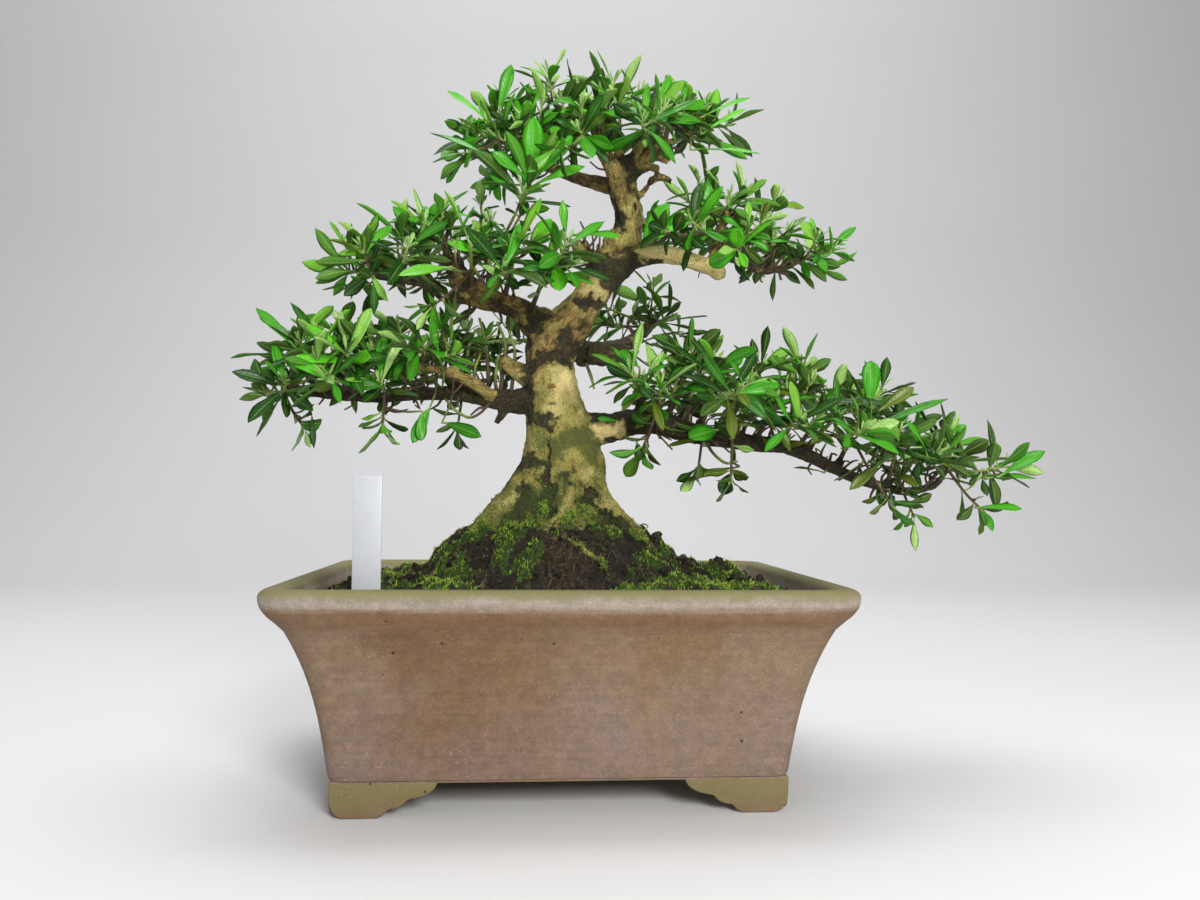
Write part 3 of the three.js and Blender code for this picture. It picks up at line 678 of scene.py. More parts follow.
@dataclass(frozen=True)
class Bark:
    """Tan bark, brown on the branches, dark with age and in painted shade, bare where stripped, and
    green where damp.

    The mesh's "bark" attribute holds how dark, bare and damp the bark is, "tint" how scarred, brown and
    mossy, and "grain" runs along the limb. Bareness past one paints the bark brighter, as painted
    light.
    """

    tan: Colour = rgb(176, 162, 82)
    straw: Colour = rgb(208, 194, 122)
    brown: Colour = rgb(124, 98, 60)
    ochre: Colour = rgb(202, 170, 100)
    old: Colour = rgb(44, 39, 31)
    rust: Colour = rgb(84, 65, 46)
    bare: Colour = rgb(238, 216, 148)
    lichen: Colour = rgb(150, 174, 60)
    slime: Colour = rgb(68, 84, 36)
    moss: Colour = rgb(104, 146, 30)
    sore: Colour = rgb(150, 88, 24)

    def material(self) -> bpy.types.Material:
        """The bark's material.

        Returns:
            The material.
        """
        graph = Graph("bark")
        place = graph.place()
        grain = graph.attribute("grain")
        dark, pale, damp = graph.attribute("bark").parts()
        scar, brown, moss = graph.attribute("tint").parts()
        fibre = graph.noise(grain, 1.5, 5.0, 0.7)
        flake = graph.noise(place, 4.0, 6.0, 0.75)
        blotch = graph.noise(place + (40.0, 9.0, 3.0), 6.5, 6.0, 0.75)
        grit = graph.noise(place, 1.0, 4.0, 0.75)
        stipple = graph.cells(place, 1.5)
        tan = graph.mix((flake * 0.7 + grit * 0.3).fade(0.4, 0.6), self.tan, self.straw)
        umber = graph.mix((flake * 0.5 + fibre * 0.5).fade(0.4, 0.62), self.brown, self.ochre)
        colour = graph.mix((brown + (blotch - 0.5) * 1.6).fade(0.25, 0.65), tan, umber)
        colour = graph.shaded(colour, fibre.fade(0.3, 0.7), (0.7, 0.68, 0.62), (1.2, 1.2, 1.16))
        worn = (fibre * 0.5 + flake * 0.3 + pale * 0.3).fade(0.5, 0.85)
        stripped = graph.mix(worn, self.straw, self.bare)
        peeled = (pale + (blotch - 0.5) * 1.6 + (grit - 0.5) * 1.2).fade(0.3, 0.7)
        colour = graph.mix(peeled * 0.9, colour, stripped)
        # Darkness with age, together with the painted shade of the hollows and of the pale branch's
        # underside.
        age_and_shade = (dark + (blotch - 0.5) * 1.5 + (grit - 0.5) * 2.0).fade(0.38, 0.72)
        crust = graph.mix((fibre * 0.6 + flake * 0.4).fade(0.46, 0.68), self.old, self.rust)
        colour = graph.mix(age_and_shade * 0.95, colour, crust)
        wet = (damp + (flake - 0.5) * 1.7 + (grit - 0.5) * 2.4).fade(0.4, 0.66)
        olive = graph.mix((grit + damp * 0.3 + age_and_shade * 0.25).fade(0.5, 0.78), self.lichen, self.slime)
        colour = graph.mix(wet * (0.8 - age_and_shade * 0.25), colour, olive)
        freckle = stipple.fade(0.45, 0.16) * (flake + damp * 0.45).fade(0.44, 0.64)
        speck = graph.mix(blotch.fade(0.44, 0.56), self.slime, self.moss)
        colour = graph.mix(freckle * 0.6, colour, speck)
        lush = (moss + (grit - 0.5) * 1.2).fade(0.34, 0.6)
        colour = graph.mix(lush, colour, graph.mix(grit.fade(0.4, 0.62), self.slime, self.moss))
        raw = graph.mix(grit.fade(0.4, 0.6), self.sore, self.brown)
        colour = graph.mix(scar.fade(0.3, 0.8) * 0.9, colour, raw)
        colour = graph.shaded(colour, grit.fade(0.32, 0.66), 0.8, 1.22)
        # Painted light: bark whose bareness passes one is made brighter still, lifting the pale branch
        # out of the leaves' shadow.
        colour = graph.shaded(colour, pale.fade(0.9, 1.5), 1.0, (1.36, 1.35, 1.34))
        relief = fibre * 0.9 + flake * 1.3 + grit * 0.5 - freckle * 0.4 + age_and_shade * 0.3
        return graph.finish(
            Base_Color=colour,
            Roughness=(0.58 + grit * 0.3),
            Normal=graph.bump(relief, 2.2, 1.0),
            Specular_IOR_Level=0.4,
        )


@dataclass(frozen=True)
class LeafSkin:
    """A leathery leaf: glossy above, duller and olive below, with a pale midrib and faint side veins.

    The mesh's marks hold the leaf's tone, with its painted light and shade, its age and whether the
    corner is on the underside.
    """

    young: Colour = rgb(132, 188, 56)
    grown: Colour = rgb(58, 146, 20)
    fresh: Colour = rgb(92, 192, 26)
    deep: Colour = rgb(26, 68, 14)
    olive: Colour = rgb(88, 108, 28)
    bronze: Colour = rgb(108, 82, 40)
    under: Colour = rgb(82, 110, 44)
    rib: Colour = rgb(176, 200, 120)
    down: Colour = rgb(196, 206, 172)

    def material(self) -> bpy.types.Material:
        """The leaf's material.

        Returns:
            The material.
        """
        graph = Graph("leaf")
        place = graph.place()
        across, along, _ = graph.node("ShaderNodeUVMap", {"uv_map": "blade"}, {}).parts()
        tone, age, under = graph.attribute("mark").parts()
        off = abs(across - 0.5) * 2.0
        cloud = graph.noise(place, 9.0, 3.0)
        grain = graph.noise(place, 0.8, 3.0, 0.7)
        tones = (0.0, 0.04, 0.09, 0.3, 0.5, 0.66, 0.86, 0.93)
        grown, deep = (self.grown, self.grown), (self.deep, self.deep)
        colours = (self.bronze, self.bronze, self.fresh, *grown, *deep, self.olive)
        top = graph.ramp(tone + (cloud - 0.5) * 0.12, *zip(tones, colours))
        top = graph.mix(age.fade(0.3, -0.05), top, self.young)
        below = graph.mix(age.fade(0.0, 0.8) * 0.7, top, self.under)
        below = graph.mix(tone.fade(0.5, 1.0) * 0.45, below, self.deep)
        colour = graph.mix(under, top, below)
        colour = graph.shaded(colour, grain.fade(0.35, 0.65), 0.92, 1.07)
        midrib = off.fade(0.12, 0.03) * along.fade(1.0, 0.8)
        slanted = ((along * 9.0 - off * 1.3).repeat() - 0.5) * 2.0
        veins = abs(slanted).fade(0.8, 1.0) * off.fade(0.95, 0.7)
        colour = graph.mix(midrib * (0.26 + under * 0.2), colour, self.rib)
        colour = graph.mix(veins * 0.1, colour, self.rib)
        colour = graph.mix(along.fade(0.2, 0.02) * 0.6, colour, self.rib)
        colour = graph.mix(age.fade(0.12, 0.0) * grain.fade(0.42, 0.6) * 0.6, colour, self.down)
        relief = (under * 2.0 - 1.0) * (midrib + veins * 0.4) + grain * 0.3
        return graph.finish(
            Base_Color=colour,
            Roughness=(0.3 + under * 0.3 + (grain - 0.5) * 0.2),
            Normal=graph.bump(relief, 0.25, 0.8),
            Specular_IOR_Level=0.24,
        )


@dataclass(frozen=True)
class ShootSkin:
    """A shoot, woody at its foot and downy at its tip.

    The mesh's marks hold how far the wood reaches up it and the share of its length.
    """

    woody: Colour = rgb(76, 60, 41)
    green: Colour = rgb(128, 148, 62)
    down: Colour = rgb(196, 198, 150)

    def material(self) -> bpy.types.Material:
        """The shoot's material.

        Returns:
            The material.
        """
        graph = Graph("shoot")
        place = graph.place()
        tone, along, _ = graph.attribute("mark").parts()
        flake = graph.noise(place, 2.4, 4.0, 0.7)
        hair = graph.noise(place, 0.5, 2.0, 0.7)
        colour = graph.mix((along - tone + (flake - 0.5) * 0.5).fade(0.3, 0.75), self.woody, self.green)
        colour = graph.mix(hair.fade(0.56, 0.7) * along * 0.6, colour, self.down)
        colour = graph.shaded(colour, flake, 0.75, 1.15)
        bump = graph.bump(flake + hair, 0.4, 0.7)
        return graph.finish(Base_Color=colour, Roughness=0.6 + hair * 0.25, Normal=bump)


@dataclass(frozen=True)
class Ground:
    """Damp dark potting soil with patches of moss. The marks hold a lump's tone and how mossy it is."""

    dark: Colour = rgb(25, 22, 15)
    light: Colour = rgb(92, 79, 57)
    # Both moss colours of the ground are painted darker, as painted shade under the moss tufts.
    moss: Colour = rgb(54, 78, 20)
    shade: Colour = rgb(26, 36, 13)

    def material(self) -> bpy.types.Material:
        """The ground's material.

        Returns:
            The material.
        """
        graph = Graph("soil")
        place = graph.place()
        tone, mossy, _ = graph.attribute("mark").parts()
        crumb = graph.noise(place, 2.6, 5.0, 0.75)
        grit = graph.noise(place, 0.8, 3.0, 0.7)
        heap = graph.noise(place, 7.0, 4.0, 0.7)
        dry = (crumb * 0.6 + heap * 0.5 + tone * 0.5).fade(0.58, 1.15)
        colour = graph.mix(dry, self.dark, self.light)
        colour = graph.shaded(colour, grit.fade(0.35, 0.7), 0.7, 1.2)
        green = graph.mix(crumb.fade(0.35, 0.65), self.shade, self.moss)
        colour = graph.mix((mossy + (crumb - 0.5) * 0.6).fade(0.25, 0.55), colour, green)
        return graph.finish(
            Base_Color=colour,
            Roughness=0.92 - grit * 0.15,
            Normal=graph.bump(crumb + grit * 0.5, 1.0, 0.9),
            Specular_IOR_Level=0.3,
        )


@dataclass(frozen=True)
class Moss:
    """Fine bright moss, darker at its foot. The marks hold the tuft's tone and, last, 1 at its tip."""

    dark: Colour = rgb(24, 36, 11)
    mid: Colour = rgb(76, 114, 26)
    bright: Colour = rgb(170, 204, 60)

    def material(self) -> bpy.types.Material:
        """The moss's material.

        Returns:
            The material.
        """
        graph = Graph("moss")
        place = graph.place()
        tone, _, tip = graph.attribute("mark").parts()
        cloud = graph.noise(place, 11.0, 3.0)
        grain = graph.noise(place, 0.7, 2.0)
        colour = graph.mix((tone * 0.8 + cloud * 0.4).fade(0.22, 0.72), self.mid, self.bright)
        colour = graph.mix(tip.fade(0.0, 0.8), self.dark, colour)
        bump = graph.bump(grain, 0.2, 0.6)
        return graph.finish(Base_Color=colour, Roughness=0.6 + grain * 0.3, Normal=bump)


@dataclass(frozen=True)
class Plastic:
    """Moulded plastic with a faint orange-peel, rubbed and soiled a little towards its foot."""

    name: str
    body: Colour
    soiled: Colour
    roughness: float
    soil_line: float

    def material(self) -> bpy.types.Material:
        """The plastic's material.

        Returns:
            The material.
        """
        graph = Graph(self.name)
        place = graph.place()
        height = place.parts()[2]
        cloud = graph.noise(place, 7.0, 4.0, 0.6)
        rub = graph.noise(place * (1.0, 1.0, 0.12), 0.9, 3.0, 0.6)
        stain = height.fade(self.soil_line + 9, self.soil_line - 2) * cloud.fade(0.35, 0.7)
        colour = graph.mix(cloud.fade(0.3, 0.75) * 0.12, self.body, self.soiled)
        colour = graph.mix(stain * 0.8, colour, self.soiled)
        return graph.finish(
            Base_Color=colour,
            Roughness=self.roughness + rub * 0.15 + stain * 0.2,
            Normal=graph.bump(cloud * 0.4 + rub * 0.3, 0.12, 0.5),
        )


@dataclass(frozen=True)
class Paper:
    """The pale seamless sheet of the studio."""

    colour: Colour = rgb(216, 216, 217)

    def material(self) -> bpy.types.Material:
        """The sheet's material.

        Returns:
            The material.
        """
        graph = Graph("studio_paper")
        cloud = graph.noise(graph.place(), 300.0, 2.0)
        colour = graph.mix(cloud, tuple(0.96 * c for c in self.colour), self.colour)
        return graph.finish(Base_Color=colour, Roughness=0.85 + cloud * 0.1, Specular_IOR_Level=0.2)


# ---- pot


@dataclass(frozen=True)
class Pot:
    """The footed rectangular pot."""

    height: float = 120.5
    foot_height: float = 17.8
    base_half_x: float = 122.5
    base_half_y: float = 88.0
    base_corner: float = 9.0
    least_corner: float = 2.0
    corner_gain: float = 0.3
    lean: float = 14.0
    curl: float = 18.5
    wall: float = 9.0
    floor: float = 9.0
    lip_width: float = 13.0
    drain_radius: float = 14.0
    drain_x: float = 62.0
    wire_radius: float = 3.0
    wire_x: float = 22.0
    foot_inset: float = 1.0
    foot_thickness: float = 14.0
    foot_rounding: float = 1.3
    leg_x: float = 57.0
    leg_y: float = 46.0
    neck: float = 107.5  # the height of the inner wall's top
    hand: float = 0.35  # how far the hand-made wall strays

    @property
    def lip_out(self) -> float:
        """How far the lip stands out beyond the base."""
        return self.lean + self.curl

    def flare(self, z: float) -> float:
        """How far the wall stands out beyond the base at a height."""
        rise = clamp((z - self.foot_height) / (self.height - 4 - self.foot_height))
        return self.lean * rise + self.curl * rise**3

    def ring(self, z: float, out: float, arc_steps: int = 7, runs: tuple[int, int] = (9, 6)) -> Array:
        """A level ring of the pot, anticlockwise from above.

        Args:
            z: The ring's height.
            out: How far it stands out beyond the base's outline.
            arc_steps: Steps round each corner.
            runs: Steps along the long and the short sides.

        Returns:
            The ring's points.
        """
        half_x, half_y = self.base_half_x + out, self.base_half_y + out
        corner = max(self.base_corner + out * self.corner_gain, self.least_corner)
        arcs = []
        for quarter, (side_x, side_y) in enumerate([(1, 1), (-1, 1), (-1, -1), (1, -1)]):
            middle = vec(side_x * (half_x - corner), side_y * (half_y - corner), z)
            turns = [(quarter + step / arc_steps) * math.pi / 2 for step in range(arc_steps + 1)]
            arcs.append([middle + corner * vec(math.cos(t), math.sin(t), 0) for t in turns])
        points = []
        for quarter, arc in enumerate(arcs):
            start, end, count = arc[-1], arcs[(quarter + 1) % 4][0], runs[quarter % 2]
            points += [*arc, *(start + (end - start) * step / count for step in range(1, count))]
        return np.array(points)

    def lining(self, z: float, clearance: float, *steps: object) -> Array:
        """A ring of the inner wall at a height, drawn in by a clearance."""
        return self.ring(z, self.flare(z) - self.wall - clearance, *steps)

    def strayed(self, rings: Sequence[Array]) -> list[Array]:
        """Rings moved sideways a little, as a hand-built wall strays."""
        drifts = [[(ripple(p, 60), ripple(p, 60, 5.0), 0.0) for p in ring] for ring in rings]
        return [ring + np.array(drift) * self.hand for ring, drift in zip(rings, drifts)]

    def inside_rings(self, clearance: float = 0.0) -> list[Array]:
        """The rings of the pot's inside, from its floor to above its mouth.

        Args:
            clearance: How far they stay off the wall and the floor.

        Returns:
            The rings from the floor up.
        """
        floor = self.foot_height + self.floor + clearance
        lip = self.lip_out - self.lip_width
        heights = [floor + 4, *np.arange(40.0, 108.0, 7.5), self.neck]
        rings = [self.ring(floor, -self.wall - 3 - clearance)]
        rings += [self.lining(z, clearance) for z in heights]
        mouth = [(-4.0, 0.0), (-2.4, 0.5), (-1.2, 1.6), (-0.4, 3.0), (0.0, 4.5), (5.0, 4.5)]
        rings += [self.ring(self.height + up, lip + out - clearance) for up, out in mouth]
        return rings

    def outside_rings(self) -> list[Array]:
        """The rings of the pot's outside, from its seam over the feet to the rim.

        Returns:
            The rings from the seam up.
        """
        seam = [(0, -1.6), (0.9, -1.5), (1.7, -0.1)]
        rings = [self.ring(self.foot_height + up, out) for up, out in seam]
        rings += [self.ring(z, self.flare(z)) for z in np.arange(21.5, 99.0, 5.5)]
        lip = [(17.0, 6.5), (14.5, 4.0), (12.0, 2.2), (10.0, 1.1), (8.0, 0.4), (6.0, 0.05), (4.0, 0.0)]
        lip += [(2.6, 0.4), (1.4, 1.4), (0.6, 2.6), (0.0, 4.2)]
        rings += [self.ring(self.height - down, self.lip_out - short) for down, short in lip]
        return rings

    def leg(self, length: float) -> Rows:
        """The outline of a cloud foot's leg: places along it from the heel, and heights.

        Args:
            length: The leg's length.

        Returns:
            The points of the outline.
        """
        top = self.foot_height + 1
        bends = [
            ((0.5, 8.0), (2.0, 0.0), (9.0, 0.0)),
            ((length * 0.42, 0.0), (length * 0.5, 0.5), (length * 0.54, 4.5)),
            ((length * 0.54, 4.5), (length * 0.66, 4.0), (length * 0.72, 9.5)),
            ((length * 0.72, 9.5), (length * 0.88, 10.0), (length * 0.96, 14.5)),
        ]
        outline = [(0.0, top)]
        for start, pull, end in bends:
            for t in np.linspace(0, 1, 6):
                ends = zip(start, pull, end)
                outline.append([(1 - t) ** 2 * a + 2 * t * (1 - t) * b + t**2 * c for a, b, c in ends])
        return [*outline, (length, top)]

    def feet(self) -> list[bpy.types.Object]:
        """The eight legs of the four corner feet, each an object with softened edges.

        Returns:
            The eight objects.
        """
        legs = []
        half_x, half_y = self.base_half_x - self.foot_inset, self.base_half_y - self.foot_inset
        for side_x, side_y in ((1, 1), (1, -1), (-1, 1), (-1, -1)):
            corner = vec(side_x * half_x, side_y * half_y, 0)
            along_x, along_y = vec(-side_x, 0, 0), vec(0, -side_y, 0)
            for inwards, thick, length, tuck in (
                (along_x, along_y, self.leg_x, 0.0),
                (along_y, along_x, self.leg_y, 0.3),
            ):
                start = corner + (inwards + thick + vec(0, 0, 1)) * tuck
                front = np.array([start + inwards * a + vec(0, 0, z) for a, z in self.leg(length)])
                rings = [front, front + thick * self.foot_thickness]
                if np.cross(inwards, thick)[2] > 0:
                    rings.reverse()
                legs.append(plate("leg", rings, self.foot_rounding, 50))
        return legs

    def drill(self, x: float, radius: float) -> bpy.types.Object:
        """An upright rod that cuts a hole through the floor.

        Args:
            x: The rod's place along the pot.
            radius: Its radius.

        Returns:
            The rod as an object.
        """
        angles = np.linspace(0, 2 * math.pi, 33)[:-1]
        rings = [
            np.array([vec(x + radius * math.cos(a), radius * math.sin(a), z) for a in angles])
            for z in (self.foot_height - 9, self.foot_height + self.floor + 9)
        ]
        return MeshDraft(skin(rings)).build("drill")

    def build(self, clay: bpy.types.Material) -> bpy.types.Object:
        """Builds the pot: walls, lip, feet and the holes of its floor.

        Args:
            clay: Its finish.

        Returns:
            The pot.
        """
        pot = MeshDraft(skin(self.strayed(self.outside_rings()))).build("stoneware_pot", clay)
        hollow = MeshDraft(skin(self.strayed(self.inside_rings()))).build("hollow")
        holes = ((self.drain_x, self.drain_radius), (self.wire_x, self.wire_radius))
        drills = [self.drill(side * x, radius) for side in (1, -1) for x, radius in holes]
        for tool in (hollow, *drills):
            cut = pot.modifiers.new("cut", "BOOLEAN")
            cut.object, cut.operation, cut.solver = tool, "DIFFERENCE", "EXACT"
            settle(pot)
            bpy.data.objects.remove(tool)
        whole = bmesh.new()
        whole.from_mesh(pot.data)
        for leg in self.feet():
            whole.from_mesh(leg.data)
            bpy.data.objects.remove(leg)
        whole.to_mesh(pot.data)
        whole.free()
        pot.data.materials.clear()
        pot.data.materials.append(clay)
        pot.data.polygons.foreach_set("material_index", np.zeros(len(pot.data.polygons), np.int32))
        pot.data.shade_smooth()
        pot.data.set_sharp_from_angle(angle=math.radians(38))
        return place_piece(pot, Slot.STONEWARE, "pot")


# ---- soil and moss


@dataclass(frozen=True)
class Clump:
    """A rounded lump on the soil: its place, its radius, its height and how mossy it is."""

    x: float
    y: float
    radius: float
    height: float
    moss: float = 1.0

    @property
    def crumbly(self) -> bool:
        """Whether it is a clod of crumbs and not a cushion of moss."""
        return self.moss < 0.3 and self.height > 2 and self.radius < 8


CLUMPS = [
    Clump(*row)
    for row in (
        (4, -52, 20, -1, 0), (-22, -42, 12, 2, 0.3), (32, -40, 14, 0.5, 0), (90, 24, 32, 7, 0.5),
        (-45, -32, 4, 2.6, 1.2), (-34, -38, 4, 2, 1.2), (-21, -43, 4, 2.6, 1.2),
        (-1, -45, 3.4, 2.2, 1.2), (20, -39, 5, 2.6, 1.2), (30, -35, 4, 1.6, 1.1),
        (102, 8, 4.5, 6, 0.1), (77, -2, 3, 3.5, 0.1), (84, 2, 3, 3, 0.2), (-51, -24, 9, 4.5, 1.2),
        (-29, -45, 5, 1.5), (-13, -54, 7, 2), (-34, -54, 6, 2.2), (-18, -62, 9, 2.8, 1.2),
        (53, -40, 5, 2), (-40, -52, 9, 1, 0), (-26, -56, 5, 0.6, 0), (-58, -52, 8, 3, 0.7),
        (-67, -58, 7, 2.4, 0.8), (-53, -74, 6, 1.6, 0.9), (-71, -66, 7, 1.8, 0.8),
        (26, -64, 5, 1.6, 0.7), (33, -77, 7, 1.4), (44, -78, 6, 1.2), (54, -62, 6, 2.2),
        (64, -62, 7, 2, 0.9), (74, -66, 8, 2), (84, -72, 7, 1.6), (95, -70, 6, 1.4, 0.8),
        (110, -70, 7, 1, 0.8), (121, -72, 5, 1, 0.7), (-83, -70, 6, 1.4, 0.8),
        (-94, -74, 6, 1.2, 0.6), (3, -80, 6, 0.8, 0.5), (0, -47, 4, 1.2, 0.8),
        (-62, -44, 6, 5.5, 0.1), (-54, -47, 5, 3.6, 0.1), (60, -13, 4.5, 7.5, 0.1),
        (66, -15, 4, 3.4, 0.1), (-62, -8, 5, 3.6, 0.2), (-73, -12, 5, 3.2, 0.9),
        (61, -46, 4.5, 3.6, 0.1), (66, -54, 5, 3, 0.2), (97, -58, 5, 3, 0.1),
        (-74, -50, 4, 2.4, 0.2), (18, -70, 4, 1, 0), (-40, -70, 5, 1.6, 0.2), (70, 20, 12, 2.5),
        (60, 44, 9, 2.5), (-66, 14, 11, 3), (-70, 42, 10, 2.5), (-20, 60, 10, 3), (20, 64, 11, 2.6),
        (92, 60, 9, 1.6), (-96, 58, 9, 1.8), (104, -10, 9, 1.4), (-104, -6, 10, 1.6),
    )
]


@dataclass(frozen=True)
class SoilBed:
    """The soil block with its crumbled, partly mossed top, heaped up round the trunk."""

    pot: Pot
    level: float = 109.0
    heap: float = 40.0
    heap_left: float = 77.0
    heap_right: float = 68.0
    heap_depth: float = 62.0
    shoulder: float = 8.0
    shoulder_half: tuple[float, float] = (138.0, 104.0)
    trodden_at: tuple[float, float] = (6.0, -62.0)
    trodden_size: tuple[float, float] = (24.0, 22.0)
    pale_lump: tuple[float, float] = (-73.0, -52.0)
    rings: int = 84
    crumb: float = 3.3
    cushions: int = 220
    grains: int = 2400
    rootlets: int = 210
    tufts: int = 40000

    @cached_property
    def clumps(self) -> list[Clump]:
        """The placed lumps and many small cushions scattered among them.

        Returns:
            The lumps.
        """
        rng = np.random.default_rng(Seed.CUSHIONS)
        found = list(CLUMPS)
        for x, y in rng.uniform((-118, -84), (118, 84), (self.cushions, 2)):
            bare = self.trodden(x, y)
            moss = rng.uniform(0.1, 1.1) * (1 - bare) - 0.15 * (abs(x) < 40 and y < -40)
            radius, height = rng.uniform(2.4, 6.0), rng.uniform(0.8, 2.8) * (1 - 0.5 * bare)
            found.append(Clump(x, y, radius, height, moss))
        return found

    def trodden(self, x: Array, y: Array) -> Array:
        """How far the ground in front of the trunk is bare at a place."""
        (middle_x, middle_y), (wide, deep) = self.trodden_at, self.trodden_size
        return np.exp(-(((x - middle_x) / wide) ** 2) - ((y - middle_y) / deep) ** 2)

    def mounds(self, places: Array) -> tuple[Array, Array]:
        """How high the lumps stand at each place, and how mossy they make it.

        Args:
            places: The places.

        Returns:
            The heights and the amounts of moss.
        """
        rise, moss = np.zeros(len(places)), np.zeros(len(places))
        for clump in self.clumps:
            away = ((places - (clump.x, clump.y)) ** 2).sum(1) / clump.radius**2
            near = away < 5
            rise[near] += clump.height * np.exp(-(away[near] ** 1.5))
            moss[near] += (clump.moss * 1.5 - 0.4) * np.exp(-away[near])
        return rise, moss

    def ground(self, places: Rows) -> tuple[Array, Array]:
        """The surface over each place, and how mossy it is there, from 0 to 1.

        Args:
            places: Rows of x and y.

        Returns:
            The surface's points and the shares of moss.
        """
        places = np.array(places, float)
        x, y = places[:, 0], places[:, 1]
        rise, moss = self.mounds(places)
        away = (x / np.where(x < 0, self.heap_left, self.heap_right)) ** 2 + (y / self.heap_depth) ** 2
        half_x, half_y = self.shoulder_half
        shoulder = self.shoulder * (1 - np.maximum(abs(x) / half_x, abs(y) / half_y) ** 6)
        level = [(a, b, 0) for a, b in places]
        patches = [1.2 * ripple(at, 15.0, 3.0) + 1.2 * ripple(at, 5.0, 9.0) for at in level]
        moss = np.clip(moss + 0.02 + 0.7 * np.array(patches) - 0.9 * self.trodden(x, y), 0, 1)
        rough = [ripple(at, 9.0) + 0.8 * ripple(at, 4.0, 4.0) for at in level]
        fine = [abs(ripple(at, 2.0, 6.0)) * 1.7 for at in level]
        z = self.level + shoulder + (self.heap - shoulder) * np.exp(-(away**3)) + rise
        z = z + np.array(rough) * self.crumb + np.array(fine) + moss * 0.8
        return np.stack([x, y, z], 1), moss

    def top(self, x: float, y: float) -> Array:
        """The surface point over one place."""
        return self.ground([(x, y)])[0][0]

    def block(self) -> tuple[Patch, Patch]:
        """The fine top and the plain sides of the soil.

        Returns:
            The top and the sides.
        """
        edge = self.pot.lining(self.level, 0.4, 12, (110, 78))[:, :2]
        shares = np.linspace(1.0, 0.02, self.rings)
        points, moss = self.ground(np.concatenate([edge * share for share in shares]))
        surface = skin(list(points.reshape(self.rings, len(edge), 3)), ends=False)
        surface.marks = np.stack([np.full(len(moss), 0.3), moss, 0 * moss], 1)[surface.quads.ravel()]
        inside = [ring for ring in self.pot.inside_rings(0.5) if ring[0][2] < 106]
        return surface, skin([*inside, self.pot.lining(self.pot.neck, 0.5)])

    def scatter(self, count: int, seed: Seed) -> Array:
        """Places scattered over the bed inside the pot's rim.

        Args:
            count: How many places.
            seed: The seed of the draws.

        Returns:
            The places.
        """
        halves = np.array([self.pot.base_half_x, self.pot.base_half_y])
        halves = halves + self.pot.flare(self.level) - self.pot.wall - 3
        return np.random.default_rng(seed).uniform(-halves, halves, (count, 2))

    def crumbs(self) -> list[Patch]:
        """Loose lumps of soil pressed into the bed, and piled into clods on its bare heaps.

        Returns:
            A patch for each crumb.
        """
        rng = np.random.default_rng(Seed.CRUMBS)
        places = list(self.scatter(self.grains, Seed.GRAINS))
        for clump in CLUMPS:
            if clump.crumbly:
                places += list(rng.normal((clump.x, clump.y), clump.radius * 0.45, (26, 2)))
        points, moss = self.ground(places)
        patches = []
        for at, lush in zip(points, moss):
            if lush > 0.45:
                continue
            size = 0.6 + 2.2 * rng.random() ** 2.2
            tone = 1.0 if rng.random() > 0.95 else 0.8 * rng.random()
            patches.append(pebble(at + vec(0, 0, size * 0.25), size, rng, (tone, lush * 0.5, 0.0)))
        patches.append(pebble(self.top(*self.pale_lump) + vec(0, 0, 1.5), 2.4, rng, (1.6, 0.0, 0.0)))
        return patches

    def threads(self) -> list[Patch]:
        """Fine roots that lie over the soil, thickest in front of the trunk.

        Returns:
            A patch for each root.
        """
        rng = np.random.default_rng(Seed.ROOTLETS)
        patches, joints = [], 5
        for i in range(self.rootlets):
            if i % 6:
                x, y = rng.normal(5, 12), rng.uniform(-76, -44)
                heading = -math.pi / 2 + rng.normal(0, 0.9)
            else:
                x, y, heading = *rng.uniform((-90, -80), (90, 80)), rng.uniform(0, 2 * math.pi)
            route, step = [], rng.uniform(1.2, 3.0)
            for _ in range(joints):
                route.append((x, y))
                heading += rng.normal(0, 0.4)
                x, y = x + step * math.cos(heading), y + step * math.sin(heading)
            lift = np.outer(rng.uniform(-0.4, 0.9, joints), (0, 0, 1))
            radius = rng.uniform(0.14, 0.36)
            radii = (radius, radius * 0.8, radius * 0.4)
            patches.append(tube(Curve(self.ground(route)[0] + lift), radii, 5, 10))
            patches[-1].marks[:] = (rng.uniform(0.2, 1.6), 0.0, 0.0)
        return patches

    def build(self, ground: bpy.types.Material) -> bpy.types.Object:
        """Builds the soil block with its loose lumps and fine roots.

        Args:
            ground: Its finish.

        Returns:
            The soil.
        """
        draft = MeshDraft(*self.block(), *self.crumbs(), *self.threads())
        return place_piece(draft.build("soil_bed", ground), Slot.SOIL, "soil")

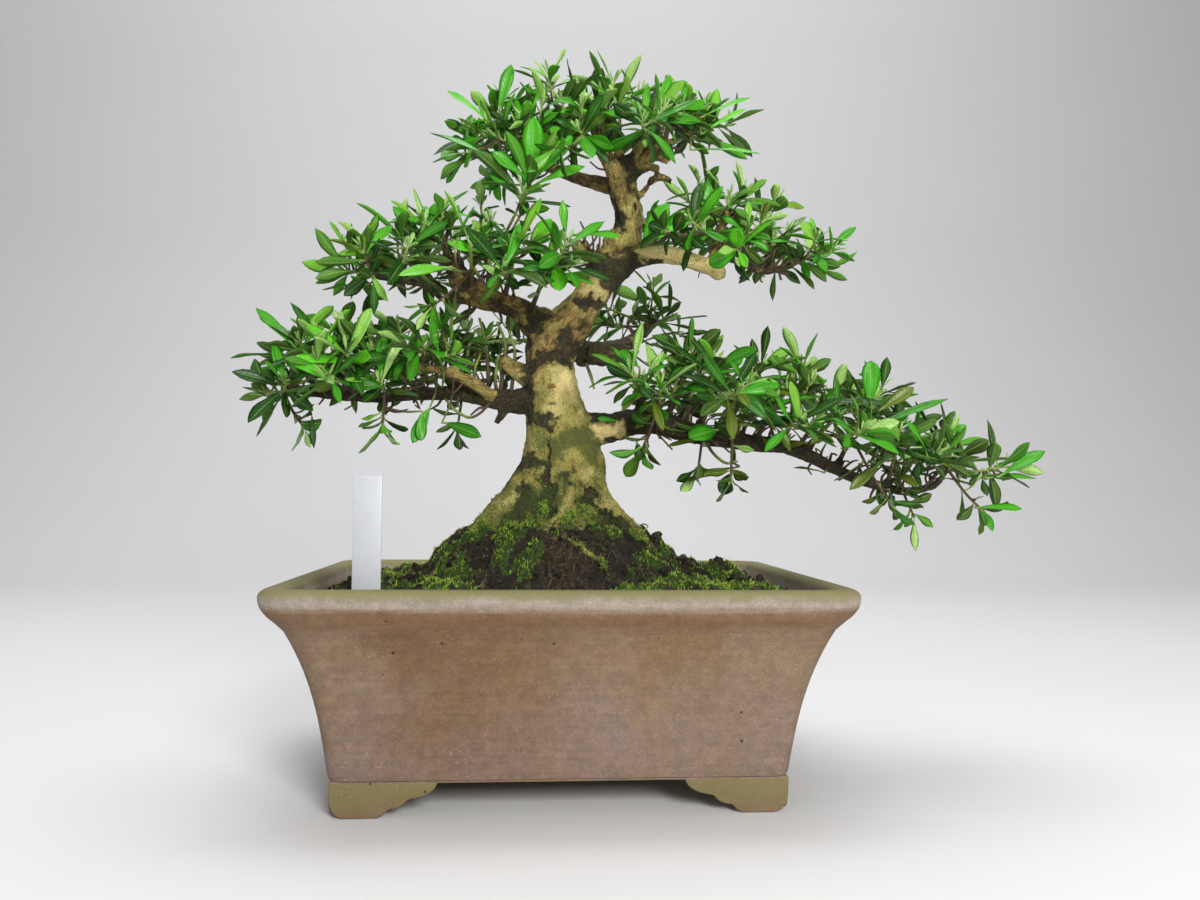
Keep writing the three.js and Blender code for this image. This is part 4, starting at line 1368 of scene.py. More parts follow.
    def moss(self, seats: tuple[Array, Array, Array], green: bpy.types.Material) -> bpy.types.Object:
        """Builds the moss tufts on the bed and on the trunk's foot.

        Args:
            seats: The wood's points, their outward directions and how mossy each is.
            green: The moss's finish.

        Returns:
            The tufts as one piece.
        """
        rng = np.random.default_rng(Seed.TUFTS)
        points, moss = self.ground(self.scatter(self.tufts * 2, Seed.MOSS))
        sky = vec(0, 0, 1)
        places = [(at, sky) for at, lush in zip(points, moss) if rng.random() < lush**1.5 * 1.1]
        for at, out, lush in zip(*seats):
            for _ in range(4 if lush > 0.16 else 0):
                if rng.random() < lush * 0.75:
                    places.append((at + rng.normal(0, 0.6, 3), unit(out + 0.5 * sky)))
        draft = MeshDraft()
        turns, faces = np.array([0.0, 2.1, 4.2]), np.array([[0, 1, 3], [1, 2, 3], [2, 0, 3]])
        for at, up in places:
            lean = unit(up + rng.normal(0, 0.5, 3))
            side = unit(np.cross(lean, rng.normal(0, 1, 3)))
            other = np.cross(lean, side)
            cushion = ripple(at, 3.6, 2.0)
            bright = 0.4 + 1.1 * ripple(at, 9.0, 5.0) + cushion + 0.5 * (rng.random() - 0.5)
            tall = (0.7 + 1.6 * rng.random() ** 1.5) * (1 + 1.2 * cushion)
            wide = 0.24 + 0.2 * rng.random()
            foot = np.outer(np.cos(turns), side) + np.outer(np.sin(turns), other)
            foot = at - lean * 0.5 + wide * foot
            marks = np.tile((clamp(bright), 1.0, 0.0), (9, 1))
            marks[2::3, 2] = 1.0
            draft.add(shard(np.vstack([foot, at + lean * tall]), faces, marks))
        draft.add(*self.grass(rng))
        return place_piece(draft.build("moss_tufts", green), Slot.SOIL)

    def grass(self, rng: np.random.Generator) -> list[Patch]:
        """A few fine grass blades among the moss at the right and the left.

        Args:
            rng: The source of the draws.

        Returns:
            A patch for each blade.
        """
        patches = []
        for x, y in [(118, -70), (121, -72), (115, -66), (76, -64), (-90, -74), (66, -34), (70, -30)]:
            foot = self.top(x, y) - vec(0, 0, 1)
            lean = vec(*rng.normal(0, 0.6, 2), 1.0)
            bent = Curve([foot, foot + lean * 3, foot + lean * vec(7, 7, 5)])
            patches.append(tube(bent, (0.3, 0.25, 0.1), 4, 6))
            patches[-1].marks[:] = (0.7, 1.0, 1.0)
        return patches


def pebble_form() -> tuple[Array, Array]:
    """The twelve points of a pebble, and the twenty outward triangles between neighbours.

    Returns:
        The points and the triangles.
    """
    pairs = [(a, b) for a in (0.85, -0.85) for b in (0.53, -0.53)]
    flat, upright = [(a, b, 0) for a, b in pairs], [(0, a, b) for a, b in pairs]
    points = np.array(flat + upright + [(b, 0, a) for a, b in pairs])
    neighbouring, faces = 1.2, []
    for a, b, c in combinations(range(12), 3):
        one, two, three = points[[a, b, c]]
        if max(np.linalg.norm(side) for side in (one - two, two - three, three - one)) < neighbouring:
            outward = np.cross(two - one, three - one).dot(one + two + three) > 0
            faces.append((a, b, c) if outward else (a, c, b))
    return points, np.array(faces)


PEBBLE_POINTS, PEBBLE_FACES = pebble_form()


def pebble(at: Array, size: float, rng: np.random.Generator, mark: Sequence[float]) -> Patch:
    """A small angular lump.

    Args:
        at: Its middle.
        size: Its radius in mm.
        rng: Where its shape is drawn from.
        mark: The mark of all its corners.

    Returns:
        The lump.
    """
    turn = np.linalg.qr(rng.normal(0, 1, (3, 3)))[0]
    shape = PEBBLE_POINTS * rng.uniform(0.7, 1.15, (12, 1)) * rng.uniform(0.7, 1.2, 3)
    faces = PEBBLE_FACES if np.linalg.det(turn) > 0 else PEBBLE_FACES[:, ::-1]
    return shard(at + shape @ turn.T * size, faces, np.tile(mark, (3 * len(faces), 1)))


# ---- wood


@dataclass(frozen=True)
class Limb:
    """A branch: rows of x, y, z and radius, and how dark, bare and brown its bark is."""

    rows: Rows
    dark: float
    pale: float
    brown: float = 0.7

    @property
    def curve(self) -> Curve:
        """The branch's centre line."""
        return Curve(self.rows)

    def radius(self, at: float) -> float:
        """The radius at a place counted along the rows."""
        return float(np.interp(at, range(len(self.rows)), [row[3] for row in self.rows]))


# The branches: how dark, bare and brown their bark is, and rows of x, y, z and radius.
LIMBS = {
    name: Limb(rows, *bark)
    for name, (bark, *rows) in {
        "trunkUpper": (
            (0.26, 0, 0.45), (-8, 0, 248, 14), (-5, 0, 262, 17), (6, -2, 277, 13),
            (16, -3, 291, 10), (26, -4, 307, 12), (35, -5, 318, 13), (40, -6, 330, 9.5),
            (41, -7, 347, 8.3), (37, -8, 363, 9), (39, -9, 373, 8), (35, -9, 380, 4.5),
        ),
        "lowerRight": (
            (1.05, 0), (16, 0, 209, 11), (32, -4, 211, 9), (45, -8, 214, 8), (59, -11, 214, 7),
            (73, -13, 209, 6.5), (102, -15, 204, 5.6), (123, -14, 201, 5), (144, -12, 199, 4.5),
            (180, -9, 183, 3.6), (216, -7, 173, 2.8), (238, -6, 176, 2.2),
        ),
        "lowerLeft": (
            (0.9, 0), (-13, 0, 228, 9), (-29, 4, 227, 7.5), (-44, 7, 229, 6.2), (-63, 8, 232, 4.7),
            (-86, 6, 231, 3.8), (-112, 2, 228, 3.2), (-136, -2, 228, 2.7), (-156, -5, 230, 2.2),
        ),
        "lowerLeftPale": (
            (0.16, 0.2, 0.45), (-43, 3, 230, 4), (-56, -6, 238, 3.7), (-72, -14, 243, 2.8),
            (-86, -20, 245, 2.2),
        ),
        "midLeft": (
            (0.34, 0, 0.6), (-10, 0, 269, 11), (-22, -8, 280, 8), (-35, -13, 285, 6.1),
            (-50, -18, 286, 5.2), (-61, -21, 288, 4.6),
        ),
        "midLeftStub": ((0.6, 0), (-58, -20, 286, 4.4), (-65, -23, 297, 4.1), (-68, -24, 308, 3.6)),
        "midLeftDark": (
            (0.7, 0), (-57, -20, 287, 4), (-70, -25, 286, 3.4), (-82, -29, 293, 2.9),
            (-97, -31, 295, 2.5), (-110, -32, 296, 2.1),
        ),
        # Its bareness passes one, so this branch is painted brighter, as painted light against the
        # leaves' shadow.
        "midRight": (
            (0, 1.5, 0), (31, -5, 313, 9), (49, -10, 318, 6), (68, -15, 318, 5.2),
            (85, -18, 312, 4.7), (95, -19, 308, 4.3),
        ),
        "midRightStub": (
            (0.3, 0, 0.6), (91, -18, 311, 3.6), (97, -18, 327, 2.9), (99, -18, 340, 2.5),
        ),
        "midRightDark": (
            (0.75, 0), (90, -18, 312, 3.5), (106, -12, 318, 3), (125, -6, 312, 2.6),
            (142, -2, 315, 2.2),
        ),
        "upLeftStub": ((0.25, 0, 0.3), (26, -5, 309, 6.3), (16, -9, 318, 4.7), (7, -12, 325, 3.7)),
        "backRight": (
            (0.7, 0), (12, 4, 258, 8), (34, 26, 264, 6.4), (50, 44, 274, 4.4), (58, 56, 284, 3.2),
        ),
        "apexFront": (
            (0.12, 0, 0.5), (38, -8, 346, 5), (30, -17, 366, 3.6), (21, -20, 381, 3.1),
            (8, -24, 388, 2.5),
        ),
        "apexLeft": (
            (0.42, 0, 0.9), (34, -6, 362, 5.4), (14, 4, 370, 4.3), (-2, 9, 377, 3.6),
            (-14, 12, 381, 3), (-31, 14, 384, 2.3),
        ),
        "apexRight": ((0.25, 0, 0.6), (38, -8, 370, 6.3), (52, -2, 384, 4), (66, 4, 395, 2.8)),
    }.items()
}

# Short spurs, loops and cut ends on the branches: rows of x, y, z and radius.
SPURS: list[Rows] = [
    [
        (-44, 2, 226, 1), (-50, -2, 219, 0.9), (-57, -3, 216, 0.9), (-66, -1, 221, 0.9),
        (-72, 3, 228, 0.9),
    ],
    [(-34, 3, 224, 4), (-40, 1, 213, 1.4)],
    [(-40, 4, 232, 1.3), (-41, 0, 241, 1.1), (-39, -1, 256, 0.9)],
    [(-52, 5, 232, 1.3), (-54, -3, 244, 1), (-50, -6, 256, 0.8)],
    [(-18, -2, 240, 6.5), (-29, -4, 246, 5.6), (-34, -6, 249, 4.4)],
    [(42, -8, 350, 1.7), (48, -8, 357, 1.3), (58, -8, 370, 1)],
    [(36, -12, 370, 3.6), (45, -14, 383, 3), (49, -14, 390, 2.6)],
    [(40, -9, 368, 3.4), (52, -12, 374, 2.7), (60, -12, 373, 2.2)],
    [(44, -6, 378, 3), (57, -10, 381, 2.2), (66, -10, 378, 1.6)],
    [(52, -6, 380, 2.2), (60, -9, 390, 1.8), (72, -8, 392, 1.5)],
    [(45, -20, 144, 0.6), (49, -20, 151, 0.45), (53, -20, 150, 0.4), (50, -20, 147, 0.35)],
    [(41, -20, 147, 0.9), (44, -20, 155, 0.5)],
    [(-62, -22, 285, 1.4), (-66, -24, 276, 1.1), (-68, -22, 266, 0.9)],
    [(88, -16, 206, 1.3), (92, -20, 196, 1), (100, -22, 189, 0.9), (108, -20, 190, 0.7)],
    [
        (-40, -20, 286.5, 5), (-46, -23, 289, 5), (-56, -26, 294.5, 4.6), (-62, -27, 302, 4.2),
        (-67, -28, 309, 3.6),
    ],
    [(-66, -3, 238, 1.2), (-68, -8, 258, 0.9), (-63, -10, 272, 0.7)],
    [(-56, -2, 236, 1.3), (-58, -8, 256, 1), (-53, -10, 270, 0.8)],
    [(-45, -1, 238, 1.4), (-47, -8, 262, 1.1), (-51, -10, 277, 0.8)],
    [(-38, 2, 232, 1.4), (-35, -6, 260, 1.1), (-40, -9, 275, 0.8)],
    [(-56, -8, 251, 0.9), (-46, -9, 264, 0.8), (-40, -9, 271, 0.6)],
    [(-31, 0, 232, 1.3), (-29, -7, 256, 1), (-33, -9, 270, 0.7)],
    [(-73, -3, 240, 1.1), (-71, -9, 253, 0.9), (-75, -11, 263, 0.6)],
    [(24, -6, 256, 5.6), (36, -10, 252, 3.4), (42, -11, 251, 2)],
    [(15, -11, 250, 1), (18, -12, 242, 1.1), (20, -13, 234, 0.6)],
    [(48, -8, 220, 3.2), (50, -10, 229, 2.8), (53, -12, 233, 2.4)],
    [
        (41, -13, 330, 4.6), (40, -15, 342, 5.2), (36, -17, 357, 4.8), (30, -19, 372, 4.4),
        (22, -20, 384, 3.6),
    ],
    [(54, -10, 366, 2.8), (61, -12, 368, 2.4), (68, -12, 365, 2)],
    [
        (22, -16, 174, 4), (31, -20, 161, 5), (38, -20, 152, 5), (45, -19, 145, 4.6),
        (52, -18, 138, 3.8), (59, -16, 130, 2.8), (63, -14, 122, 2.2),
    ],
    [
        (-24, -14, 178, 4), (-34, -20, 165, 6), (-43, -22, 153, 6.4), (-51, -22, 143, 5.4),
        (-58, -22, 133, 4),
    ],
    [
        (-1, -35, 161, 2.4), (-6, -40, 153, 2.3), (-10, -45, 147, 1.9), (-13, -48, 140, 1.2),
        (-15, -50, 132, 0.9),
    ],
    [
        (1, -44, 145, 0.8), (5, -49, 142, 1.3), (11, -52, 138, 1.7), (17, -55, 134, 1.5),
        (22, -58, 131, 1.7), (25, -61, 126, 1.1),
    ],
]

# Lumps: x, y, z of the middle and the radius.
LUMPS: Rows = [
    (19, -5, 295, 9), (24, -3, 257, 8), (30, -4, 210, 9.6), (-17, -8, 188, 6.5), (-12, -6, 277, 8),
    (6, -5, 277, 10), (27, -6, 311, 12.5), (96, -19, 307, 5), (-66, -23, 308, 4.4), (42, -9, 371, 5),
    (35, -7, 326, 10), (41, -9, 352, 8), (22, -2, 300, 11), (-34, -5, 250, 4.6),
]


def is_twig(rows: Rows) -> bool:
    """Whether a spur is thin enough to stand on the wood as a bare twiglet."""
    return max(row[3] for row in rows) <= 1.6


@dataclass(frozen=True)
class Stroke:
    """A soft mark drawn on the wood through rows of x, y and z, in which depth counts for less."""

    rows: Rows
    radius: float
    strength: float = 1.0

    def weights(self, places: Array) -> Array:
        """How strongly it marks each place.

        Args:
            places: The places.

        Returns:
            A weight for each place.
        """
        squash = np.array([1.0, 0.45, 1.0])
        knots = np.array(self.rows, float) * squash
        nearest = np.full(len(places), 1e9)
        for start, end in zip(knots, knots[1:] if len(knots) > 1 else knots):
            off, run = places * squash - start, end - start
            share = np.clip(off @ run / max(run @ run, 1e-9), 0, 1)
            nearest = np.minimum(nearest, ((off - share[:, None] * run) ** 2).sum(1))
        return self.strength * np.exp(-((nearest / self.radius**2) ** 1.4))


def strokes(*rows: Sequence) -> list[Stroke]:
    """Strokes from rows of their radius, their strength and the points that they run through."""
    return [Stroke(points, radius, strength) for radius, strength, *points in rows]


def marked(places: Array, drawn: Sequence[Stroke]) -> Array:
    """The sum of all strokes at each place."""
    return sum((stroke.weights(places) for stroke in drawn), np.zeros(len(places)))


DARK_STROKES = strokes(
    (4.4, 0.8, (-20, -8, 246), (-20, -8, 237), (-21, -8, 228), (-21, -9, 219)),
    (4.4, 1.4, (-18, -12, 214), (-8, -18, 213)),
    (4.6, 1.3, (-28, -8, 186), (-20, -14, 188), (-13, -22, 187)),
    (3.6, 1.2, (-25, -21, 171)),
    (3.4, 1.1, (3, -27, 180)),
    (2.2, 0.8, (14, -25, 175)),
    (5.6, 0.75, (-8, -30, 169), (-13, -32, 163), (-20, -33, 157), (-28, -33, 151)),
    (6, 0.5, (-36, -34, 144), (-20, -40, 145)),
    (2.6, 1.2, (16, -25, 170), (24, -22, 162), (31, -20, 154)),
    (6, 0.9, (31, -26, 149), (42, -20, 145), (48, -16, 139)),
    (3.2, 1.2, (29, -8, 201)),
    (
        6, 1.3, (20, -13, 313), (29, -13, 308), (38, -13, 310), (45, -13, 311), (44, -13, 304),
        (30, -13, 301),
    ),
    (2.8, 1.2, (10, -13, 288), (20, -13, 287), (29, -13, 290)),
    (5.6, 0.8, (1, -13, 262), (8, -13, 258), (15, -13, 264), (22, -13, 269)),
    (3.6, 1.1, (-17, -13, 275)),
    (3.4, 1.3, (-15, -13, 251), (-6, -13, 253), (3, -13, 249)),
    (5, 0.9, (-36, -10, 276), (-28, -8, 269), (-22, -6, 262)),
    (2.6, 1, (29, -13, 372), (33, -12, 360), (34, -12, 345), (37, -12, 332)),
    (5, 1.2, (40, -12, 375), (44, -12, 369)),
    (1.5, 1.2, (40, -12, 366), (41, -12, 352), (41, -12, 340)),
    # Painted shade: a dark line along the underside of the pale branch.
    (2.6, 0.9, (47, -9, 312), (60, -13, 311), (74, -17, 309)),
    (8, 0.6, (38, 10, 176), (34, 18, 168)),
    (8, 0.6, (10, 16, 240), (4, 18, 224), (-6, 20, 214)),
    (7, 0.6, (-14, 22, 205), (-20, 26, 180), (-28, 28, 160)),
    (7, 0.7, (28, 22, 186), (26, 30, 166)),
)
CREASES = strokes(
    (1.9, 1.1, (-8, -21, 201), (-7, -24, 190), (-9, -25, 183), (-9, -27, 176)),
    (4.6, 1.2, (-9, -27, 177), (-9, -30, 168), (-8, -33, 158)),
    (4, 1, (-22, -24, 170), (-23, -27, 162), (-31, -28, 152)),
    (3, 1.2, (15, -26, 169), (22, -25, 160), (28, -26, 151)),
    (2.8, 0.8, (12, -28, 166), (11, -33, 154)),
    (2.4, 0.9, (-19, -13, 283), (-14, -13, 276), (-8, -13, 279)),
    (2.4, 0.7, (-6, -13, 270), (4, -13, 268), (12, -13, 274)),
    (2, 1, (12, -13, 289), (20, -13, 288), (30, -13, 292)),
    (1.5, 1.3, (40, -14, 366), (41, -14, 352), (41, -14, 340)),
    (1.2, 0.6, (46, -12, 356), (46, -12, 340)),
    (2.4, 0.8, (33, -14, 320), (38, -14, 322)),
    (3.4, 0.8, (0, 24, 200), (2, 28, 180), (0, 34, 160)),
    (3.4, 0.8, (-30, 18, 176), (-38, 22, 158)),
    (3.4, 0.7, (30, 14, 180), (40, 16, 160)),
)
PALE_STROKES = strokes(
    (6.4, 1.15, (-3, -16, 243), (-2, -17, 234), (-3, -19, 226), (-5, -19, 219)),
    (4.6, 1, (5, -12, 241), (8, -12, 230), (12, -12, 221)),
    (5, 0.5, (14, -12, 217), (8, -20, 214)),
    (4.6, 0.3, (-14, -17, 205), (-13, -19, 196)),
    (5, 0.8, (17, -22, 182)),
    (4, 0.4, (8, -24, 191)),
    (4.6, 0.75, (-27, -24, 168), (-32, -24, 161)),
    (3.6, 0.45, (-18, -24, 175)),
    (5, 0.5, (3, -30, 169), (4, -32, 161)),
    (4, 0.8, (26, -20, 166), (34, -15, 158)),
    (6.4, 1.9, (24, -8, 207), (33, -8, 210)),
    (5, 1, (16, -13, 295), (24, -13, 296)),
    (4.4, 0.4, (2, -13, 278), (11, -13, 282), (20, -13, 281)),
    (4, 0.25, (-16, -13, 261), (-10, -13, 264)),
    (4.6, 0.5, (-32, -8, 243), (-27, -6, 242)),
    (3.2, 0.5, (34, -13, 318)),
    (2.6, 0.5, (-1, -37, 160), (-5, -42, 152), (-9, -46, 144)),
    (2.2, 0.7, (10, -52, 139), (18, -56, 134)),
    (3, 0.4, (43, -14, 354), (44, -14, 344), (42, -13, 336)),
    (3, 0.35, (23, -20, 382), (30, -19, 372), (36, -17, 356), (40, -15, 342)),
)
DAMP_STROKES = strokes(
    (5.6, 0.8, (3, -22, 202), (14, -18, 204), (23, -8, 201), (17, -18, 195)),
    (4, 0.6, (21, -19, 176), (26, -16, 168)),
    (3.6, 0.5, (-3, -23, 198), (-3, -25, 188)),
    (4.6, 0.55, (8, -16, 220), (17, -7, 216), (20, -8, 210)),
    (9, 0.9, (-10, -30, 168), (-19, -31, 160), (-27, -30, 155)),
    (4.6, 0.6, (-34, -8, 178), (-41, -8, 164), (-47, -8, 153)),
    (1.5, 1.4, (-5, -18, 225)),
    (1.4, 1.4, (1, -17, 225)),
    (3.6, 0.6, (-1, -28, 180), (8, -27, 174)),
    (4, 0.3, (-15, -17, 207), (-12, -19, 200)),
    (5, 0.5, (-18, -13, 284), (-14, -13, 280)),
    (12, 0.5, (20, 24, 196), (10, 28, 180), (-10, 28, 176)),
    (9, 0.5, (-28, 10, 190), (-36, 4, 172)),
)
MOSS_STROKES = strokes(
    (4.6, 1.1, (15, -30, 163), (20, -31, 156), (23, -33, 149)),
    (3, 1.1, (2, -36, 155), (4, -38, 148)),
    (6, 1.2, (-47, -20, 148), (-50, -26, 142)),
    (4.6, 1.1, (-28, -32, 151), (-24, -35, 147)),
    (3.4, 0.7, (-40, -16, 164), (-45, -18, 155)),
    (3.6, 0.9, (-10, -30, 176), (-11, -32, 166), (-12, -36, 156)),
    (4.6, 1.1, (-16, -38, 147), (-12, -40, 143)),
    (3, 0.7, (-20, -33, 158), (-18, -34, 152)),
    (2.4, 0.9, (25, -16, 171), (28, -15, 167)),
    (3.6, 0.6, (44, -16, 148), (52, -12, 143)),
    (7, 0.9, (-12, 44, 142), (18, 40, 142), (36, 30, 146)),
    (7, 0.9, (-48, 16, 148), (-40, 30, 142)),
    (6, 0.7, (52, 0, 142), (46, 14, 148)),
)
BROWN_STROKES = strokes(
    (5, 0.9, (-18, -8, 246), (-18, -8, 234), (-19, -9, 222)),
    (3, 1, (-19, -13, 248), (-12, -13, 248)),
    (9, 0.5, (-6, -13, 262), (8, -13, 270), (20, -13, 278)),
    (6, 0.7, (38, -24, 152), (30, -26, 146)),
)


@dataclass(frozen=True)
class Trunk:
    """The flared foot of the trunk."""

    # rows of height, middle x, half width and half depth
    sections: Rows = (
        (98, -2, 50, 38), (114, -2, 54, 42), (128, -3, 51, 41), (140, -3, 46, 38), (151, -3, 41, 35),
        (162, -3.5, 35.5, 31), (174, -2, 30.5, 28), (190, 2, 25.5, 25), (206, 1, 22, 21),
        (220, -2.5, 19, 18.5), (236, -6, 16, 16), (258, -7, 13.5, 13.5),
    )
    # angle in degrees, how far out at the ground, and width in degrees
    ridges: Rows = (
        (206, 0.4, 24), (281, 0.32, 13), (331, 0.36, 14), (4, 0.32, 18), (60, 0.3, 18), (122, 0.36, 18),
        (170, 0.3, 16),
    )
    # the furrows between them: angle, how far in, and width
    furrows: Rows = (
        (250, 0.2, 12), (308, 0.2, 8), (348, 0.1, 8), (30, 0.12, 12), (90, 0.14, 12), (148, 0.12, 12),
        (186, 0.08, 8),
    )
    around: int = 108

    def section(self, z: float) -> list[float]:
        """The middle x, the half width and the half depth at a height."""
        heights, *columns = zip(*self.sections)
        return [float(np.interp(z, heights, column)) for column in columns]

    def surface(self, z: float, angle: float) -> tuple[Array, Array]:
        """A point of the foot's surface and the direction out from its middle.

        Args:
            z: Height in mm.
            angle: Compass angle in degrees, anticlockwise from +X.

        Returns:
            The point and the unit direction.
        """
        middle, half_x, half_y = self.section(z)
        grip = clamp((200 - z) / 70) ** 1.4
        swell = 1 - 0.18 * grip
        wander = 7 * ripple((0, 0, z), 24.0, 2.0)
        for sign, rows in ((1, self.ridges), (-1, self.furrows)):
            for at, reach, spread in rows:
                off = ((angle - at - wander * (sign < 0) + 540) % 360 - 180) / spread
                swell += sign * reach * grip * math.exp(-off * off)
        turn = math.radians(angle)
        swell += 0.03 * ripple((math.cos(turn) * 6, math.sin(turn) * 6, z / 10), 1.0)
        out = vec(half_x * math.cos(turn), half_y * math.sin(turn), 0)
        return vec(middle, 0, z) + out * swell, unit(out)

    def foot(self) -> Patch:
        """The foot as a closed skin.

        Returns:
            The skin.
        """
        angles = [360 * i / self.around for i in range(self.around)]
        heights = np.arange(100.0, 259.0, 2.5)
        return skin([np.array([self.surface(z, angle)[0] for angle in angles]) for z in heights])

    def surface_roots(self) -> list[Patch]:
        """Thin roots that lie on the foot and run into the soil: rows of angle, height and radius.

        Returns:
            A patch for each root.
        """
        routes = [
            [(283, 176, 3.0), (281, 166, 3.2), (276, 155, 2.8), (266, 146, 2.3), (259, 136, 1.8)],
            [(284, 148, 1.6), (290, 141, 2.2), (299, 134, 2.2), (306, 128, 1.8)],
            [(236, 180, 3.0), (228, 166, 4.0), (219, 152, 4.0), (212, 138, 3.4)],
            [(320, 178, 3.0), (325, 164, 3.4), (331, 150, 3.2), (335, 136, 2.8)],
            [(300, 152, 1.2), (312, 148, 1.8), (320, 142, 2.0), (326, 134, 1.8)],
            [(266, 152, 1.4), (262, 144, 1.6), (262, 132, 1.4)],
            [(212, 158, 2.6), (208, 142, 2.8), (204, 124, 2.4)],
            [(340, 150, 2.4), (346, 136, 2.6), (352, 120, 2.2)],
            [(38, 154, 2.6), (34, 138, 2.6), (40, 120, 2.2)],
            [(84, 150, 2.6), (92, 134, 2.4), (88, 118, 2.2)],
            [(150, 152, 2.6), (144, 136, 2.6), (152, 120, 2.4)],
            [(110, 170, 2.2), (104, 152, 2.6), (108, 134, 2.4)],
        ]
        patches = []
        for route in routes:
            rows = []
            for angle, z, radius in route:
                at, out = self.surface(z, angle)
                rows.append((*(at + out * radius * 0.35), radius))
            patches.append(grown(rows, 10, 16))
        return patches


class Sample(NamedTuple):
    """A place on a limb's centre line: its frame, the length so far, the limb's radius and its bark."""

    at: Array
    along: Array
    side: Array
    other: Array
    length: float
    radius: float
    dark: float
    pale: float
    brown: float


@dataclass(frozen=True)
class Wood:
    """Trunk, branches and stubs, grown together and barked."""

    trunk: Trunk
    voxel: float = 1.15
    lump: float = 0.8
    fibre: float = 0.34
    crease: float = 2.6
    foot_top: float = 232.0
    moss_top: float = 186.0
    scar_at: tuple[float, float, float] = (-6, -17, 234.8)
    scar_size: tuple[float, float, float] = (3.0, 8.0, 2.2)
    twiglets: int = 290

    def union(self, stubs: Sequence[Patch]) -> bpy.types.Object:
        """The wood's limbs grown into one skin.

        Args:
            stubs: The stubs that carry the sprays.

        Returns:
            The smooth wood.
        """
        draft = MeshDraft(self.trunk.foot(), *self.trunk.surface_roots(), *stubs)
        for limb in LIMBS.values():
            draft.add(grown(limb.rows, 28 if limb.rows[0][3] > 8 else 16, len(limb.rows) * 6))
        draft.add(*(grown(rows, 12, 8) for rows in SPURS if not is_twig(rows)))
        angles = np.arange(16) / 16 * 2 * math.pi
        circle = np.stack([np.cos(angles), np.sin(angles), 0 * angles], 1)
        levels = [(h, math.sqrt(1 - h * h)) for h in np.linspace(-0.94, 0.94, 9)]
        for x, y, z, radius in LUMPS:
            draft.add(skin([vec(x, y, z + radius * h) + radius * wide * circle for h, wide in levels]))
        wood = draft.build("wood_and_bark")
        remesh = wood.modifiers.new("grow together", "REMESH")
        remesh.mode, remesh.voxel_size = "VOXEL", self.voxel * MM
        smooth = wood.modifiers.new("soften the joints", "SMOOTH")
        smooth.factor, smooth.iterations = 0.5, 5
        settle(wood)
        return wood

    def samples(self) -> list[Sample]:
        """Samples of the trunk's and the limbs' centre lines.

        Returns:
            The samples.
        """
        found = []
        vertical = (vec(0, 0, 1), vec(1, 0, 0), vec(0, 1, 0))
        for z in np.arange(100.0, 246.0, 3.0):
            middle, half, _ = self.trunk.section(z)
            found.append(Sample(vec(middle, 0, z), *vertical, z, half, 0.08, 0.0, 0.0))
        for limb in LIMBS.values():
            curve, length, side, last = limb.curve, 0.0, None, None
            for share in np.linspace(0, 1, 10 * len(limb.rows)):
                at, along = curve.point(share), curve.tangent(share)
                side = square_to(along) if side is None else unit(side - along * side.dot(along))
                length += 0.0 if last is None else float(np.linalg.norm(at - last))
                last = at
                radius = limb.radius(share * (len(limb.rows) - 1))
                bark = (limb.dark, limb.pale, limb.brown)
                found.append(Sample(at, along, side, np.cross(along, side), length, radius, *bark))
        return found

    def owners(self, points: Array, samples: list[Sample]) -> Array:
        """Which sample each point belongs to: the one whose limb's skin is nearest.

        Args:
            points: The points.
            samples: The samples.

        Returns:
            The sample's number for each point.
        """
        middles = np.array([sample.at for sample in samples])
        radii = np.array([sample.radius for sample in samples])
        chosen = []
        for some in np.array_split(points, 40):
            squares = (some**2).sum(1)[:, None] + (middles**2).sum(1) - 2 * some @ middles.T
            chosen.append((np.sqrt(np.maximum(squares, 0)) - radii).argmin(1))
        return np.concatenate(chosen)

    def bark_relief(self, wood: bpy.types.Object) -> tuple[Array, Array, Array]:
        """Carves the bark and marks each point's grain, darkness, bareness, damp, colour and moss.

        Args:
            wood: The smooth wood.

        Returns:
            The points, their outward directions and how mossy each is.
        """
        mesh = wood.data
        count = len(mesh.vertices)
        points, normals = np.zeros(count * 3), np.zeros(count * 3)
        mesh.vertices.foreach_get("co", points)
        mesh.vertices.foreach_get("normal", normals)
        points = (points.reshape(-1, 3) - origin()) / MM
        normals = normals.reshape(-1, 3)
        seeds = (1.0, 12.0, 23.0)
        drift = [[ripple(p, 7.0, k) * 5.0 + ripple(p, 2.8, k) * 2.2 for k in seeds] for p in points]
        kinds = (DARK_STROKES, CREASES, PALE_STROKES, DAMP_STROKES, MOSS_STROKES, BROWN_STROKES)
        places = points + np.array(drift)
        spots, creases, bare, wet, moss, rust = (marked(places, kind) for kind in kinds)
        samples = self.samples()
        owners = self.owners(points, samples)
        grain, bark, tint = np.zeros((count, 3)), np.zeros((count, 3)), np.zeros((count, 3))
        for i, point in enumerate(points):
            at, along, side, other, length, radius, dark, pale, brown = samples[owners[i]]
            off = point - at
            place = vec(off.dot(side), off.dot(other), 0.22 * (length + off.dot(along)))
            grain[i] = place
            thin = min(1.0, radius / 9.0)
            rough = ripple(point, 12.0) * 1.2 + ripple(point, 5.0, 2.0) * 1.1
            rough += ripple(point, 2.6, 7.0) * 0.8
            split = 0.5 - abs(ripple(place, 2.4, 5.0))
            foot = radius > 14 and point[2] < self.foot_top
